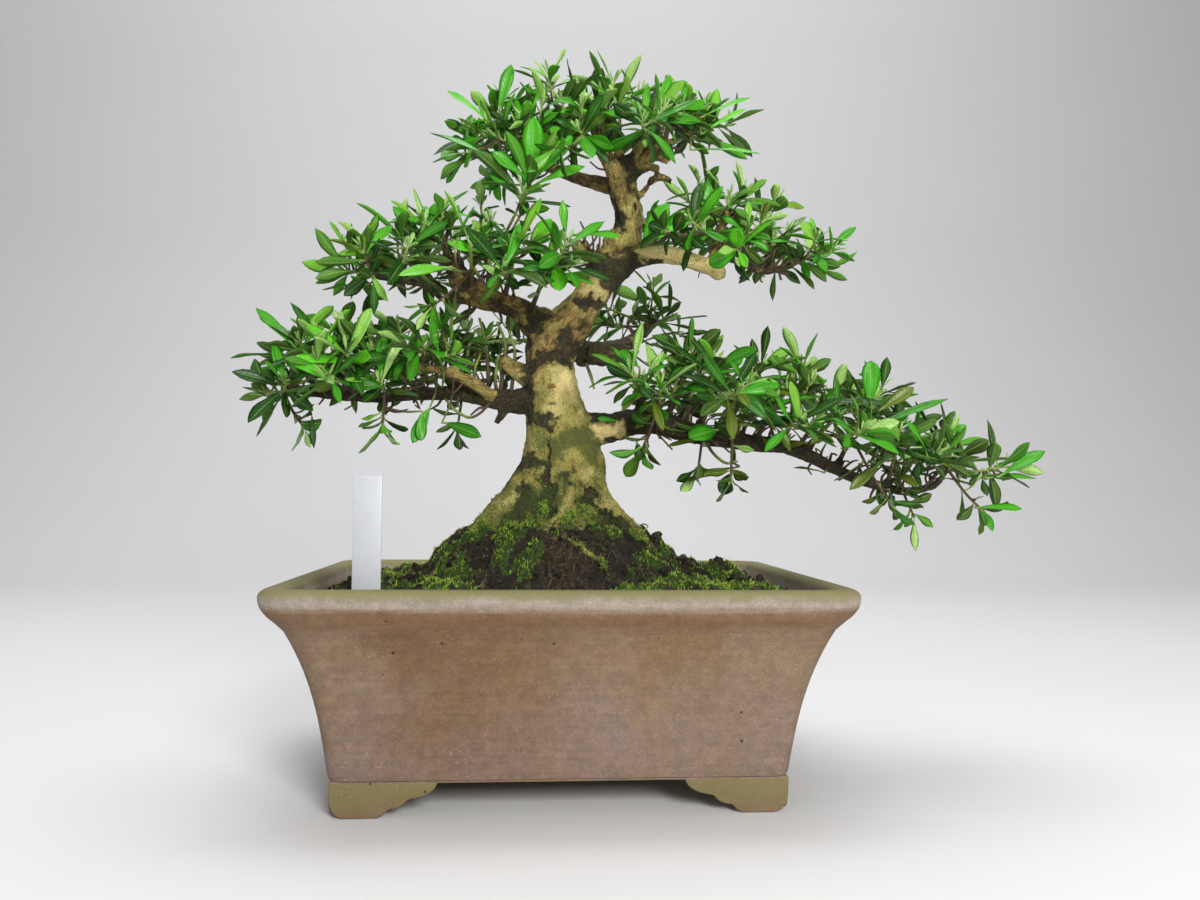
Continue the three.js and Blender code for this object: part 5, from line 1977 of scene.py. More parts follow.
            # Painted shade: hollows between the bark's lumps, and fissures in brown bark, are darkened.
            hollow = max(-rough - 0.1, 0.0) + (0.5 - split if brown > 0.3 else 0.0) * 0.2
            low = clamp((168 - point[2]) / 30) if foot else 0.0
            lift = thin * (self.lump * rough + self.fibre * split * 2.4) * (1 - 0.6 * min(bare[i], 1.0))
            cut = self.crease * min(creases[i], 1.2) * min(thin * 1.4, 1.0)
            points[i] = point + normals[i] * (lift - cut)
            cloud, patch = ripple(point, 9.0, 6.0), ripple(point, 15.0, 3.0)
            age_and_shade = dark + spots[i] + creases[i] * 0.7 + 0.3 * cloud + 0.3 * hollow
            age_and_shade += 0.15 * low - 0.9 * bare[i]
            # Bareness may pass one, up to 1.6, where the bark is painted brighter as painted light.
            stripped = pale * (1.1 - spots[i]) + bare[i] + 0.3 * (patch - 0.15)
            damp = (0.38 if foot else 0.1) + wet[i] + 0.5 * patch + 0.35 * low - 0.4 * bare[i]
            bark[i] = clamp(age_and_shade, high=1.2), clamp(stripped, high=1.6), clamp(damp)
            sting = float(np.linalg.norm((point - self.scar_at) / self.scar_size))
            green = moss[i] * (0.75 + 0.6 * ripple(point, 4.0, 1.0))
            green += 0.75 * low * (0.45 + patch + 0.7 * cloud) - 0.15
            tint[i] = (
                clamp(1.35 - sting + 0.5 * ripple(point, 1.6)),
                clamp(brown + rust[i] + 0.3 * cloud),
                clamp(green) * (point[2] < self.moss_top),
            )
        mesh.vertices.foreach_set("co", to_row(points).ravel())
        for name, values in (("grain", grain), ("bark", bark), ("tint", tint)):
            layer = mesh.attributes.new(name, "FLOAT_VECTOR", "POINT")
            layer.data.foreach_set("vector", values.ravel())
        mesh.update()
        return points, normals, tint[:, 2]

    def build(self, stubs: Sequence[Patch], bark: bpy.types.Material) -> tuple[Array, Array, Array]:
        """Builds the wood.

        Args:
            stubs: The stubs that carry the sprays.
            bark: Its finish.

        Returns:
            The wood's points, their outward directions and how mossy each is.
        """
        wood = self.union(stubs)
        seats = self.bark_relief(wood)
        wood.data.materials.append(bark)
        wood.data.shade_smooth()
        place_piece(wood, Slot.BARK, "wood")
        return seats

    def spurs(self, twig_skin: bpy.types.Material) -> bpy.types.Object:
        """Builds the thin bare twiglets that stand on the branches.

        Args:
            twig_skin: Their finish.

        Returns:
            The twiglets as one piece.
        """
        rng = np.random.default_rng(Seed.TWIGLETS)
        draft = MeshDraft(*(grown(rows, 7, 14) for rows in SPURS if is_twig(rows)))
        names = [name for name in LIMBS if name not in ("trunkUpper", "midRight")]
        names += ["lowerRight"] * 6 + ["lowerLeft"] * 4
        for _ in range(self.twiglets):
            limb = LIMBS[names[rng.integers(len(names))]]
            share = rng.uniform(0.25, 1.0)
            at, along = limb.curve.point(share), limb.curve.tangent(share)
            radius = limb.radius(share * (len(limb.rows) - 1))
            out = np.cross(along, rng.normal(0, 1, 3)) + vec(0, 0, 0.8)
            out = unit(out + along * rng.uniform(-0.5, 0.9))
            long = rng.uniform(5, 16)
            elbow = at + out * (radius + long * 0.5) + rng.normal(0, 1.2, 3)
            onward = unit(along + vec(0, 0, rng.uniform(-0.4, 1.2)))
            end = at + out * (radius + long * 0.8) + onward * long * 0.4
            thick = rng.uniform(0.7, 1.3)
            radii = (1.1 * thick, 0.9 * thick, 0.75 * thick, 0.5)
            draft.add(tube(Curve([at, at + out * radius, elbow, end]), radii, 5, 6, tone=0.8))
        return place_piece(draft.build("twiglets", twig_skin), Slot.BARK)


# ---- sprays


@dataclass(frozen=True)
class Leaf:
    """One leaf.

    Its form runs from -1, lance-shaped, to 1, round. It bends sideways, and its margins wave.
    """

    root: Array
    out: Array
    up: Array
    length: float
    width: float
    arch: float
    age: float
    tone: float
    twist: float
    wave: float
    form: float = 0.0
    bend: float = 0.0
    fold: float = 0.15


@dataclass(frozen=True)
class Blade:
    """The shape that all leaves share: stations along the leaf, the width there, and points across."""

    stations: tuple[float, ...] = (0.0, 0.07, 0.17, 0.3, 0.44, 0.58, 0.71, 0.83, 0.93)
    shares: tuple[float, ...] = (0.12, 0.1, 0.27, 0.52, 0.78, 0.97, 1.0, 0.8, 0.42)
    across: tuple[float, ...] = (-1.0, -0.5, 0.0, 0.5, 1.0)
    thickness: float = 0.35

    def faces(self) -> tuple[Array, Array, Array]:
        """The quads, the triangles and whether each of them is on the underside.

        Returns:
            The quads, the triangles and the flags.
        """
        rows, cols = len(self.stations), len(self.across)
        tip = rows * cols

        def below(row: int, col: int) -> int:
            """The underside's point, shared with the top at the margins."""
            return row * cols + col if col in (0, cols - 1) else tip + 1 + row * (cols - 2) + col - 1

        def above(row: int, col: int) -> int:
            """The top's point."""
            return row * cols + col

        quads, triangles = [], []
        for col in range(cols - 1):
            for row in range(rows - 1):
                corners = ((row, col), (row, col + 1), (row + 1, col + 1), (row + 1, col))
                quads.append([above(*corner) for corner in corners])
                quads.append([below(*corners[i]) for i in (0, 3, 2, 1)])
            triangles.append([above(rows - 1, col), above(rows - 1, col + 1), tip])
            triangles.append([below(rows - 1, col), tip, below(rows - 1, col + 1)])
        under = np.tile((0.0, 1.0), (len(quads) + len(triangles)) // 2)
        return np.array(quads), np.array(triangles), under

    def patch(self, leaf: Leaf) -> Patch:
        """One leaf's closed skin.

        Args:
            leaf: The leaf.

        Returns:
            The skin.
        """
        quads, triangles, under = BLADE_FACES
        s, k = np.meshgrid(self.stations, self.across, indexing="ij")
        share = np.repeat(np.array(self.shares)[:, None], len(self.across), 1)
        share = np.where(s < 0.1, share, share ** (1 - 0.4 * leaf.form))
        half = leaf.width / 2 * share
        wave = np.sin(2 * math.pi * (1.4 * s + leaf.wave + 0.2 * k))
        wave = 0.07 * leaf.width * wave * np.abs(k) * share
        rise = leaf.fold * leaf.width * share * np.abs(k) ** 1.4 + wave
        wide = k * half
        turn = leaf.twist * s
        lateral = wide * np.cos(turn) - rise * np.sin(turn) + leaf.bend * leaf.length * s**2
        lift = wide * np.sin(turn) + rise * np.cos(turn) - leaf.arch * leaf.length * s**2
        across = np.cross(leaf.out, leaf.up)
        along = s * leaf.length * (1 - 0.12 * s * abs(leaf.arch))
        top = leaf.root + along[..., None] * leaf.out + lateral[..., None] * across
        top = top + lift[..., None] * leaf.up
        thick = self.thickness * np.array([0.7, 1.5, 0.7])[None, :, None]
        thick = thick * (1 + 1.5 * (s[:, 1:-1, None] < 0.1))
        bottom = top[:, 1:-1] - thick * min(1.0, leaf.width / 5) * leaf.up
        tip = leaf.root + leaf.length * (1 - 0.12 * abs(leaf.arch)) * leaf.out
        tip = tip + leaf.bend * leaf.length * across - leaf.arch * leaf.length * leaf.up
        points = np.vstack([top.reshape(-1, 3), tip, bottom.reshape(-1, 3)])
        chart = np.stack([k / 2 + 0.5, s], 2)
        places = np.vstack([chart.reshape(-1, 2), (0.5, 1.0), chart[:, 1:-1].reshape(-1, 2)])
        corners = np.concatenate([quads.ravel(), triangles.ravel()])
        sides = np.concatenate([np.repeat(under[: len(quads)], 4), np.repeat(under[len(quads) :], 3)])
        marks = np.stack([np.full(len(corners), leaf.tone), np.full(len(corners), leaf.age), sides], 1)
        return Patch(points, quads, triangles, places[corners], marks, 1)


BLADE = Blade()
BLADE_FACES = BLADE.faces()


@dataclass(frozen=True)
class Rosette:
    """How the leaves stand round the end of a shoot; angles are in degrees."""

    count: int = 9
    step: float = 1.2
    shortest: float = 22.0
    longest: float = 34.0
    width: float = 8.4
    lift: float = 0.55
    golden_turn: float = 137.5
    youngest_spread: float = 28.0
    oldest_spread: float = 80.0
    missing: float = 0.0  # the share of leaves that have dropped
    ripe: float = 1.0  # how far its leaves have ripened
    slack: float = 13.0  # how many degrees the leaves have sunk
    age_and_painted_shade: float = 0.24  # how much darker its oldest leaves are, partly with age and partly as painted shade in the pad

    def leaves(self, bend: Array, tip: Array, seed: int) -> list[Leaf]:
        """The leaves of a shoot, youngest first.

        Args:
            bend: Where the shoot's last stretch begins.
            tip: The shoot's tip.
            seed: Which of the endless different shoots it is.

        Returns:
            Its leaves.
        """
        step = min(self.step, np.linalg.norm(tip - bend) / self.count)
        end = unit(tip - bend)
        along = unit(end + vec(0, 0, self.lift))
        side = square_to(along)
        other = np.cross(along, side)
        draw, extra = Draws(seed), Draws(seed * 7919 + 17)
        draw.next()
        extra.next()
        mood = extra.next()
        grown = []
        for i in range(self.count):
            turn = math.radians(i * self.golden_turn + 30 * draw.next() + seed * 50)
            age = i / (self.count - 1)
            middle = lerp(self.youngest_spread, self.oldest_spread, age)
            spread = middle + 16 * (draw.next() - 0.5) + self.slack * extra.between(0.2, 1.6)
            spread = math.radians(spread)
            length = draw.between(self.shortest, self.longest)
            arch = draw.between(0.04, 0.2)
            radial = side * math.cos(turn) + other * math.sin(turn)
            out = along * math.cos(spread) + radial * math.sin(spread)
            up = along * math.sin(spread) - radial * math.cos(spread)
            roll = extra.between(-0.8, 0.8)
            form = extra.between(-1.1, 0.3) + 0.8 * (extra.next() > 0.86)
            leaf = Leaf(
                root=tip - end * step * (i + 0.5),
                out=out,
                up=up * math.cos(roll) + np.cross(out, up) * math.sin(roll),
                length=length * (1 - 0.12 * (form > 0.5)),
                width=self.width * (0.94 + 0.26 * form) * extra.between(0.85, 1.12),
                arch=arch * extra.between(-0.6, 2.2),
                age=min(1.0, age * 1.1 + 0.4 * (mood - 0.3)) * self.ripe,
                tone=clamp(0.45 * mood + 0.66 * extra.next() - 0.14 + self.age_and_painted_shade * age),
                twist=extra.between(-0.7, 0.7),
                wave=extra.next(),
                form=form,
                bend=extra.between(-0.14, 0.14),
                fold=extra.between(0.06, 0.26),
            )
            if extra.next() >= self.missing:
                grown.append(leaf)
        return grown


FULL = Rosette(missing=0.17)
FLAT = Rosette(missing=0.2, slack=26)
SIDE = Rosette(count=7, step=1.3, shortest=14, longest=26, width=6.6, missing=0.1)
# Leaves low on the shoots, much darker as painted shade inside the pad.
FORK = Rosette(
    count=4, step=2.8, shortest=13, longest=24, width=6.4, youngest_spread=50, oldest_spread=85,
    missing=0.2, age_and_painted_shade=0.65,
)
# Hanging shoots, whose leaves are much darker as painted shade below the limbs.
HANGING = Rosette(
    count=8, step=1.6, shortest=13, longest=23, width=8.2, lift=-0.2, oldest_spread=76, missing=0.2,
    age_and_painted_shade=0.6,
)
THIN = Rosette(missing=0.28, slack=18, shortest=16, longest=28, width=7.4)
LOW = Rosette(count=7, step=1.3, shortest=13, longest=22, width=7.2, missing=0.45, slack=24)
TALL = Rosette(step=1.6, shortest=30, longest=40, width=9.6, youngest_spread=14, oldest_spread=66)
BUD = Rosette(
    count=5, step=0.35, shortest=6, longest=13, width=2.5, youngest_spread=8, oldest_spread=34,
    ripe=0.0, slack=4,
)


@dataclass(frozen=True)
class LoneLeaf:
    """A large leaf that stands out from the pads: its root, its tip, its width, form and tone."""

    root: tuple[float, float, float]
    tip: tuple[float, float, float]
    width: float
    form: float = -0.3
    tone: float = 0.4
    age: float = 0.6
    facing: float = 0.6  # how far its upper side turns from the sky to the viewer

    def leaf(self) -> Leaf:
        """The leaf as the blades draw it.

        Returns:
            The leaf.
        """
        root, tip = np.array(self.root, float), np.array(self.tip, float)
        out = unit(tip - root)
        up = unit(vec(0.05, -self.facing, (1 - self.facing) + 0.1))
        up = unit(up - out * up.dot(out))
        length = float(np.linalg.norm(tip - root))
        wave = (length * 0.37) % 1.0
        shape = {"arch": 0.08, "twist": wave - 0.5, "wave": wave, "form": self.form, "fold": 0.14}
        return Leaf(root, out, up, length, self.width, age=self.age, tone=self.tone, **shape)


LONE_LEAVES = [
    LoneLeaf(*row)
    for row in (
        ((-20, -46, 351), (-19, -58, 386), 12.5, 0.1, 0.35, 0.9, 0.8),
        ((-19, -46, 352), (3, -52, 379), 9.5, 0, 0.5, 0.9, 0.7),
        ((-22, -46, 351), (-42, -54, 367), 9, -0.2, 0.5, 0.9, 0.6),
        ((-20, -44, 349), (-50, -44, 352), 8.5, -0.2, 0.7, 1, 0.4),
        ((-40, -38, 366), (-80, -40, 384), 7.5, -0.6, 0.5, 0.8, 0.5),
        ((-8, -34, 364), (18, -44, 379), 7, -0.5, 0.3, 0.8, 0.5),
        ((-46, -20, 396), (-71, -24, 415), 7, -0.6, 0.3, 0.5, 0.5),
        ((-41, -22, 401), (-33, -26, 431), 8, 0.2, 0.4, 0.5, 0.8),
        ((-29, -24, 401), (-12, -28, 417), 8, 0.2, 0.4, 0.6, 0.8),
        ((-4, -14, 414), (-19, -16, 441), 3.2, -0.9, 0.2, 0, 0.5),
        ((9, -20, 402), (8, -26, 421), 11, 0.8, 0.6, 1, 0.9),
        ((86, -10, 408), (118, -12, 424), 5, -0.9, 0.3, 0.3, 0.5),
        ((86, -14, 396), (113, -20, 413), 5, -0.9, 0.2, 0.3, 0.5),
        ((79, -14, 386), (123, -20, 386), 4.6, -0.9, 0.3, 0.4, 0.5),
        ((-57, -24, 376), (-80, -30, 368), 6, -0.4, 0.6, 0.8, 0.4),
        ((-36, -30, 362), (-48, -36, 350), 10, 0.7, 0.7, 1, 0.9),
        ((30, -30, 377), (50, -44, 388), 9, 0, 0.4, 0.7, 0.7),
        ((45, -38, 317), (60, -48, 341), 11.5, 0, 0.35, 0.9, 0.8),
        ((48, -38, 317), (76, -50, 337), 12, 0, 0.45, 0.9, 0.7),
        ((44, -38, 316), (72, -44, 320), 8, -0.4, 0.6, 0.9, 0.4),
        ((84, -20, 340), (94, -24, 367), 9, 0.4, 0.4, 0.8, 0.8),
        ((187, -30, 226), (188, -34, 252), 11.5, 0.9, 0.4, 0.9, 0.9),
        ((195, -26, 222), (216, -30, 237), 8, 0.4, 0.97, 1, 0.8),
        ((278, -10, 182), (308, -14, 201), 8.5, -0.4, 0.4, 0.8, 0.5),
        ((271, -8, 182), (305, -10, 184), 7, -0.7, 0.3, 0.7, 0.4),
        ((264, -8, 163), (294, -12, 164), 6.5, -0.5, 0.2, 0.6, 0.5),
        ((268, -8, 162), (274, -12, 148), 7, 0.6, 0.4, 0.8, 0.9),
        ((106, -38, 211), (142, -46, 215), 9, -0.5, 0.6, 1, 0.6),
        ((92, -38, 208), (73, -54, 203), 12, 0.7, 0.3, 0.7, 0.8),
        ((182, -26, 208), (236, -34, 233), 6, -0.9, 0.5, 0.8, 0.5),
        ((150, -30, 226), (196, -40, 228), 7, -0.9, 0.6, 0.9, 0.5),
        ((-159, -10, 254), (-184, -14, 281), 7, -0.4, 0.4, 0.6, 0.6),
        ((-160, -10, 246), (-193, -14, 241), 6, -0.6, 0.5, 0.7, 0.4),
        ((-162, -10, 229), (-185, -14, 218), 7, -0.3, 0.6, 0.8, 0.5),
        ((-151, -10, 219), (-148, -14, 195), 4, -0.9, 0.7, 0.9, 0.5),
        ((-72, -16, 212), (-48, -26, 204), 8.5, 0.2, 0.6, 0.9, 0.7),
        ((-79, -16, 222), (-89, -24, 199), 8, 0.4, 0.3, 0.7, 0.8),
        ((-84, -20, 218), (-84, -24, 200), 7, 0.6, 0.5, 0.9, 0.8),
        ((-74, -30, 320), (-77, -36, 340), 8.5, 0.5, 0.6, 0.9, 0.9),
        ((-82, -30, 317), (-101, -34, 339), 7.5, 0, 0.5, 0.8, 0.7),
        ((-114, -30, 300), (-133, -34, 307), 7, -0.3, 0.6, 0.8, 0.5),
        ((-115, -30, 292), (-142, -34, 289), 6, -0.8, 0.7, 0.9, 0.4),
        ((-38, -46, 299), (-12, -58, 293), 10, 0, 0.15, 0.5, 0.6),
        ((-12, -46, 297), (17, -58, 291), 9.5, -0.2, 0.2, 0.5, 0.6),
        ((-22, -46, 309), (-9, -56, 327), 10, 0.3, 0.2, 0.5, 0.8),
        ((4, -38, 323), (32, -50, 321), 8, -0.2, 0.3, 0.6, 0.5),
        ((-43, -46, 306), (-67, -56, 313), 8, -0.3, 0.25, 0.6, 0.5),
        ((-6, -50, 302), (-3, -60, 285), 11, 0.8, 0.3, 0.7, 0.8),
        ((51, 30, 272), (74, 6, 289), 7, -0.5, 0.7, 0.9, 0.5),
        ((52, 30, 270), (78, 8, 277), 7, -0.4, 0.9, 0.9, 0.5),
        ((44, -48, 243), (32, -58, 251), 8, 0.5, 0.5, 0.8, 0.8),
        ((36, -12, 214), (22, -18, 216), 5.5, -0.3, 0.4, 0.6, 0.5),
        ((47, -10, 202), (49, -12, 190), 6.6, 0.6, 0.8, 0.9, 0.9),
        ((199, -22, 191), (176, -26, 174), 7.5, -0.4, 0.95, 1, 0.6),
        ((163, -20, 184), (142, -24, 188), 4.5, -0.7, 0.9, 1, 0.4),
        ((198, -18, 178), (198, -22, 163), 8.5, 0.8, 0.6, 0.9, 0.9),
        ((204, -18, 174), (205, -22, 160), 4.8, 0.2, 0.7, 0.9, 0.7),
        ((213, -16, 172), (225, -20, 168), 5, 0.2, 0.8, 0.9, 0.7),
        ((108, -26, 187), (73, -30, 179), 7, -0.4, 0.95, 1, 0.5),
        ((103, -26, 183), (95, -30, 171), 7.5, 0.6, 0.8, 1, 0.9),
        ((91, -22, 204), (63, -26, 200), 5, -0.6, 0.9, 1, 0.5),
    )
]


@dataclass(frozen=True)
class SprayRow:
    """Where a spray leaves its branch, and the tips of its shoots."""

    on: str
    at: float
    tips: Rows


# The sprays of each pad: the limb, the place along it and the tips of the shoots.
SPRAYS: dict[str, Sequence[Sequence]] = {
    "lower_right": (
        ("lowerRight", 3, (57, -42, 232), (38, -58, 238), (47, -30, 194)),
        ("lowerRight", 3.5, (71, -18, 242), (82, -4, 260)),
        ("lowerRight", 3.8, (97, 40, 250), (72, 50, 240)),
        ("lowerRight", 4.4, (89, -46, 245), (96, -68, 226), (82, -26, 180)),
        ("lowerRight", 4.9, (112, -14, 242), (131, 12, 254), (100, -38, 176)),
        ("lowerRight", 5.2, (126, 42, 234), (158, 58, 243)),
        ("lowerRight", 5.8, (127, -42, 223), (134, -62, 210)),
        ("lowerRight", 6.7, (158, -6, 240), (160, 22, 254)),
        ("lowerRight", 7.1, (185, 36, 234), (208, 54, 233)),
        ("lowerRight", 7.2, (164, -36, 216), (173, -56, 207)),
        ("lowerRight", 7.8, (195, -6, 228), (212, 14, 240), (202, -30, 162)),
        ("lowerRight", 8.3, (225, 12, 216), (242, 32, 208)),
        ("lowerRight", 8.7, (207, -28, 204), (224, -38, 194), (226, -4, 156)),
        ("lowerRight", 10, (253, -10, 195), (284, -4, 189), (271, -6, 160), (246, 6, 206)),
    ),
    "lower_left": (
        ("lowerLeft", 6.7, (-158, -14, 260), (-174, 4, 254)),
        ("lowerLeft", 6.2, (-142, -30, 258), (-134, -6, 268)),
        ("lowerLeft", 7, (-178, -8, 229), (-162, -28, 233), (-156, -4, 208)),
        ("lowerLeft", 5.6, (-124, -44, 248), (-133, -56, 232)),
        ("lowerLeft", 5.4, (-145, 36, 252), (-166, 48, 247)),
        ("lowerLeft", 4.8, (-106, -36, 232), (-113, -24, 250), (-122, 14, 265), (-108, -14, 206)),
        ("lowerLeft", 4, (-112, 44, 252), (-92, 58, 256)),
        ("lowerLeftPale", 3, (-93, -32, 256), (-78, -46, 254)),
        ("lowerLeftPale", 1.5, (-73, -18, 266), (-58, -6, 268)),
        ("lowerLeft", 2.5, (-70, 44, 260), (-52, 60, 269), (-66, 22, 208)),
        ("lowerLeft", 1.4, (-40, 38, 262), (-33, 54, 280)),
    ),
    "mid_left": (
        ("midLeftDark", 4, (-118, -38, 310), (-130, -20, 300), (-110, -46, 292)),
        ("midLeftDark", 3, (-91, -46, 310), (-97, -24, 322)),
        ("midLeftDark", 2.2, (-88, 12, 314), (-107, 28, 318)),
        ("midLeftStub", 1.6, (-74, -16, 328), (-82, -40, 327)),
        ("midLeft", 3.4, (-54, -58, 311), (-64, -70, 294), (-78, -44, 276)),
        ("midLeft", 2.7, (-44, -32, 329), (-51, -12, 346), (-20, -44, 353), (-26, -12, 342)),
        ("midLeft", 2.1, (-28, -60, 309), (-36, -74, 292)),
        ("midLeft", 2.4, (-63, 34, 327), (-44, 50, 338), (-22, 42, 332)),
        ("midLeft", 0.9, (-10, -54, 299), (0, -68, 309)),
    ),
    "mid_right": (
        ("midRightStub", 2, (102, -22, 350), (84, -2, 354)),
        ("midRightStub", 0.9, (74, -48, 330), (56, -60, 320)),
        ("midRightDark", 1.2, (113, -30, 333), (101, -48, 314)),
        ("midRightDark", 2.4, (134, -6, 336), (130, 12, 354)),
        ("midRightDark", 3, (158, -4, 322), (156, -24, 327)),
        ("midRightDark", 1.8, (146, 32, 332), (130, 46, 341)),
        ("midRight", 2.4, (94, 34, 350), (110, 54, 346), (62, 26, 346)),
    ),
    "back": (
        ("backRight", 3, (78, 62, 292), (62, 78, 306), (40, 74, 290), (30, 58, 300)),
    ),
    "apex": (
        ("apexLeft", 4, (-66, 12, 386), (-56, -6, 394)),
        ("apexLeft", 3.2, (-37, -8, 400), (-44, 10, 412)),
        ("apexLeft", 2.4, (-24, -36, 390), (-40, -30, 382)),
        ("apexFront", 3, (-2, -26, 406), (-12, -10, 420)),
        ("apexFront", 2.3, (8, -46, 382), (-7, -62, 366)),
        ("apexFront", 1.6, (22, -34, 402), (28, -14, 418)),
        ("apexLeft", 2.2, (-21, 40, 416), (-38, 54, 408), (-45, 34, 386)),
        ("trunkUpper", 10, (36, 2, 422), (26, 34, 428), (6, 50, 422)),
        ("apexRight", 1, (53, -38, 400), (44, -56, 384)),
        ("apexRight", 1.9, (71, 0, 420), (82, -14, 408), (92, 8, 402), (109, 18, 414)),
        ("apexRight", 1.4, (63, 38, 420), (88, 52, 418)),
    ),
}


# Sprays inside the lower left pad, whose leaves are small and painted darker, as painted shade.
INNER = ("spray_lower_left_9", "spray_lower_left_10", "spray_lower_left_11")

# Painted light and shade: how much darker the leaves of some pads are painted, as painted shade, and,
# below zero, how much lighter, as painted light.
PAINTED_LIGHT_AND_SHADE = {**dict.fromkeys(INNER, 0.3), "lower_right": 0.06, "mid": -0.1, "apex": -0.11}

# Sprays with few low leaves, and the shoot among them that stands tall.
SPARSE = ("spray_mid_left_6", "spray_mid_left_8")
LEADER = ("spray_mid_left_6", 2)

# Open spaces with no leaves, which show the cut stubs: the low and the high corner of each.
CLEARINGS = (((-76, -95, 287), (-46, -21, 315)),)


def grows(leaf: Leaf) -> bool:
    """Whether a leaf keeps out of the open spaces, by its middle."""
    middle = leaf.root + 0.5 * leaf.length * leaf.out
    return not any((middle > low).all() and (middle < high).all() for low, high in CLEARINGS)


@dataclass
class Spray:
    """A woody stub with the leafy shoots that grow from it."""

    node: str
    row: SprayRow
    index: int
    lone: list[LoneLeaf]
    stub_length: float = 4.0
    gap: float = 0.3
    fork_at: float = 0.4
    sunk: float = 2.0  # how deep the first shoot sits in the stub
    droop: float = 6.0  # how far below the stub a hanging shoot's tip is
    brightest: float = 0.06
    dullest_inside: float = 0.84
    bud_seed: int = 3000
    fork_seed: int = 5000
    side_seed: int = 9000
    side_bud_seed: int = 13000

    def stub(self) -> tuple[Array, Array, float, Array]:
        """The stub's foot and end, its radius at the foot, and its direction.

        Returns:
            The foot, the end, the radius and the direction.
        """
        limb = LIMBS[self.row.on]
        foot = limb.curve.point(self.row.at / (len(limb.rows) - 1))
        towards = unit(np.array(self.row.tips[0], float) - foot)
        radius = limb.radius(self.row.at)
        return foot, foot + towards * (radius + self.stub_length), min(2.6, radius * 0.7), towards

    def stub_patch(self) -> Patch:
        """The stub's skin."""
        foot, end, radius, _ = self.stub()
        return tube(Curve([foot, end]), (radius + 0.4, 2.4), 12, 4)

    def shoots(self) -> list[list[Array]]:
        """The route of each shoot: its foot or fork, its bend and its tip.

        Returns:
            The routes.
        """
        _, end, _, towards = self.stub()
        tips = [np.array(tip, float) for tip in self.row.tips]
        foot = end + towards * self.gap
        fork = foot + (tips[0] - foot) * self.fork_at
        others = [[fork, fork + (tip - fork) * 0.5 + vec(0, 0, -2), tip] for tip in tips[1:]]
        return [[foot, fork, tips[0]], *others]

    def nearest(self, place: Sequence[float]) -> tuple[float, Array]:
        """How near the shoots come to a place, and where.

        Args:
            place: The place.

        Returns:
            The distance and the point on a shoot.
        """
        limb = LIMBS[self.row.on].curve
        shoots = [Curve(route) for route in self.shoots()]
        points = [shoot.point(share) for shoot in shoots for share in np.linspace(0.2, 1, 17)]
        points += [limb.point(share) for share in np.linspace(0.3, 1, 60)]
        gaps = [float(np.linalg.norm(point - np.array(place, float))) for point in points]
        return min(gaps), points[int(np.argmin(gaps))]

    def side_shoot(self, route: list[Array], seed: int) -> list[Array]:
        """A shorter shoot that leaves a shoot between its bend and its tip.

        Args:
            route: The route of the shoot that it leaves.
            seed: The seed of the draws.

        Returns:
            The route of the side shoot.
        """
        draw = Draws(seed * 31 + 7)
        draw.next()
        _, bend, tip = route
        along = unit(tip - bend)
        side = square_to(along)
        other = np.cross(along, side)
        turn = draw.between(0, 2 * math.pi)
        radial = side * math.cos(turn) + other * math.sin(turn)
        start = bend + (tip - bend) * draw.between(0.1, 0.45)
        reach = draw.between(13, 19)
        end = start + unit(along * 0.5 + radial * 0.85 + vec(0, 0, 0.25)) * reach
        return [start, start + (end - start) * 0.45 + vec(0, 0, -0.8), end]

    def whorl(self, hangs: bool, tall: bool) -> Rosette:
        """How the leaves stand round one of its shoots.

        Args:
            hangs: Whether the shoot hangs.
            tall: Whether it stands tall.

        Returns:
            The shoot's rosette.
        """
        if self.node in SPARSE and not tall:
            return LOW
        if hangs:
            return HANGING
        if tall:
            return TALL
        if "mid_right" in self.node or self.node in INNER:
            return THIN
        return FLAT if "apex" in self.node else FULL

    def build(self, shoot_skin: bpy.types.Material, leaf_skin: bpy.types.Material) -> bpy.types.Object:
        """Builds the spray.

        Args:
            shoot_skin: The twigs' finish.
            leaf_skin: The leaves' finish.

        Returns:
            The spray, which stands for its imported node.
        """
        draft = MeshDraft()
        _, end, _, towards = self.stub()
        leaves: list[Leaf] = []
        for i, route in enumerate(self.shoots()):
            seed = self.index * 16 + i + 1
            hangs = route[2][2] < end[2] - self.droop
            if i == 0:
                route = [end - towards * self.sunk, *route[1:]]
            radii = (1.7, 1.3, 0.8) if i == 0 else (1.0, 0.9, 0.7)
            stem = tube(Curve(route), radii, 8, 10)
            stem.marks[:, 0] += 0.5 * hangs
            draft.add(stem)
            whorl = self.whorl(hangs, (self.node, i) == LEADER)
            leaves += whorl.leaves(route[1], route[2], seed)
            leaves += FORK.leaves(route[0], route[1], seed + self.fork_seed)
            if not hangs:
                tip = route[2] + 0.5 * unit(route[2] - route[1])
                leaves += BUD.leaves(route[1], tip, seed + self.bud_seed)
            if not hangs and whorl is not LOW:
                side = self.side_shoot(route, seed)
                draft.add(tube(Curve(side), (0.8, 0.7, 0.55), 6, 6))
                leaves += SIDE.leaves(side[1], side[2], seed + self.side_seed)
                leaves += BUD.leaves(side[1], side[2], seed + self.side_bud_seed)
        leaves = [leaf for leaf in leaves if grows(leaf)]
        for lone in self.lone:
            _, start = self.nearest(lone.root)
            leaf = lone.leaf()
            sag = vec(0.06, 0, -0.06) * np.linalg.norm(leaf.root - start)
            middle = lerp(start, leaf.root, 0.5) + sag
            stalk = Curve([start, middle, leaf.root, leaf.root + leaf.out])
            draft.add(tube(stalk, (0.8, 0.7, 0.6, 0.5), 6, 8))
            leaves.append(leaf)
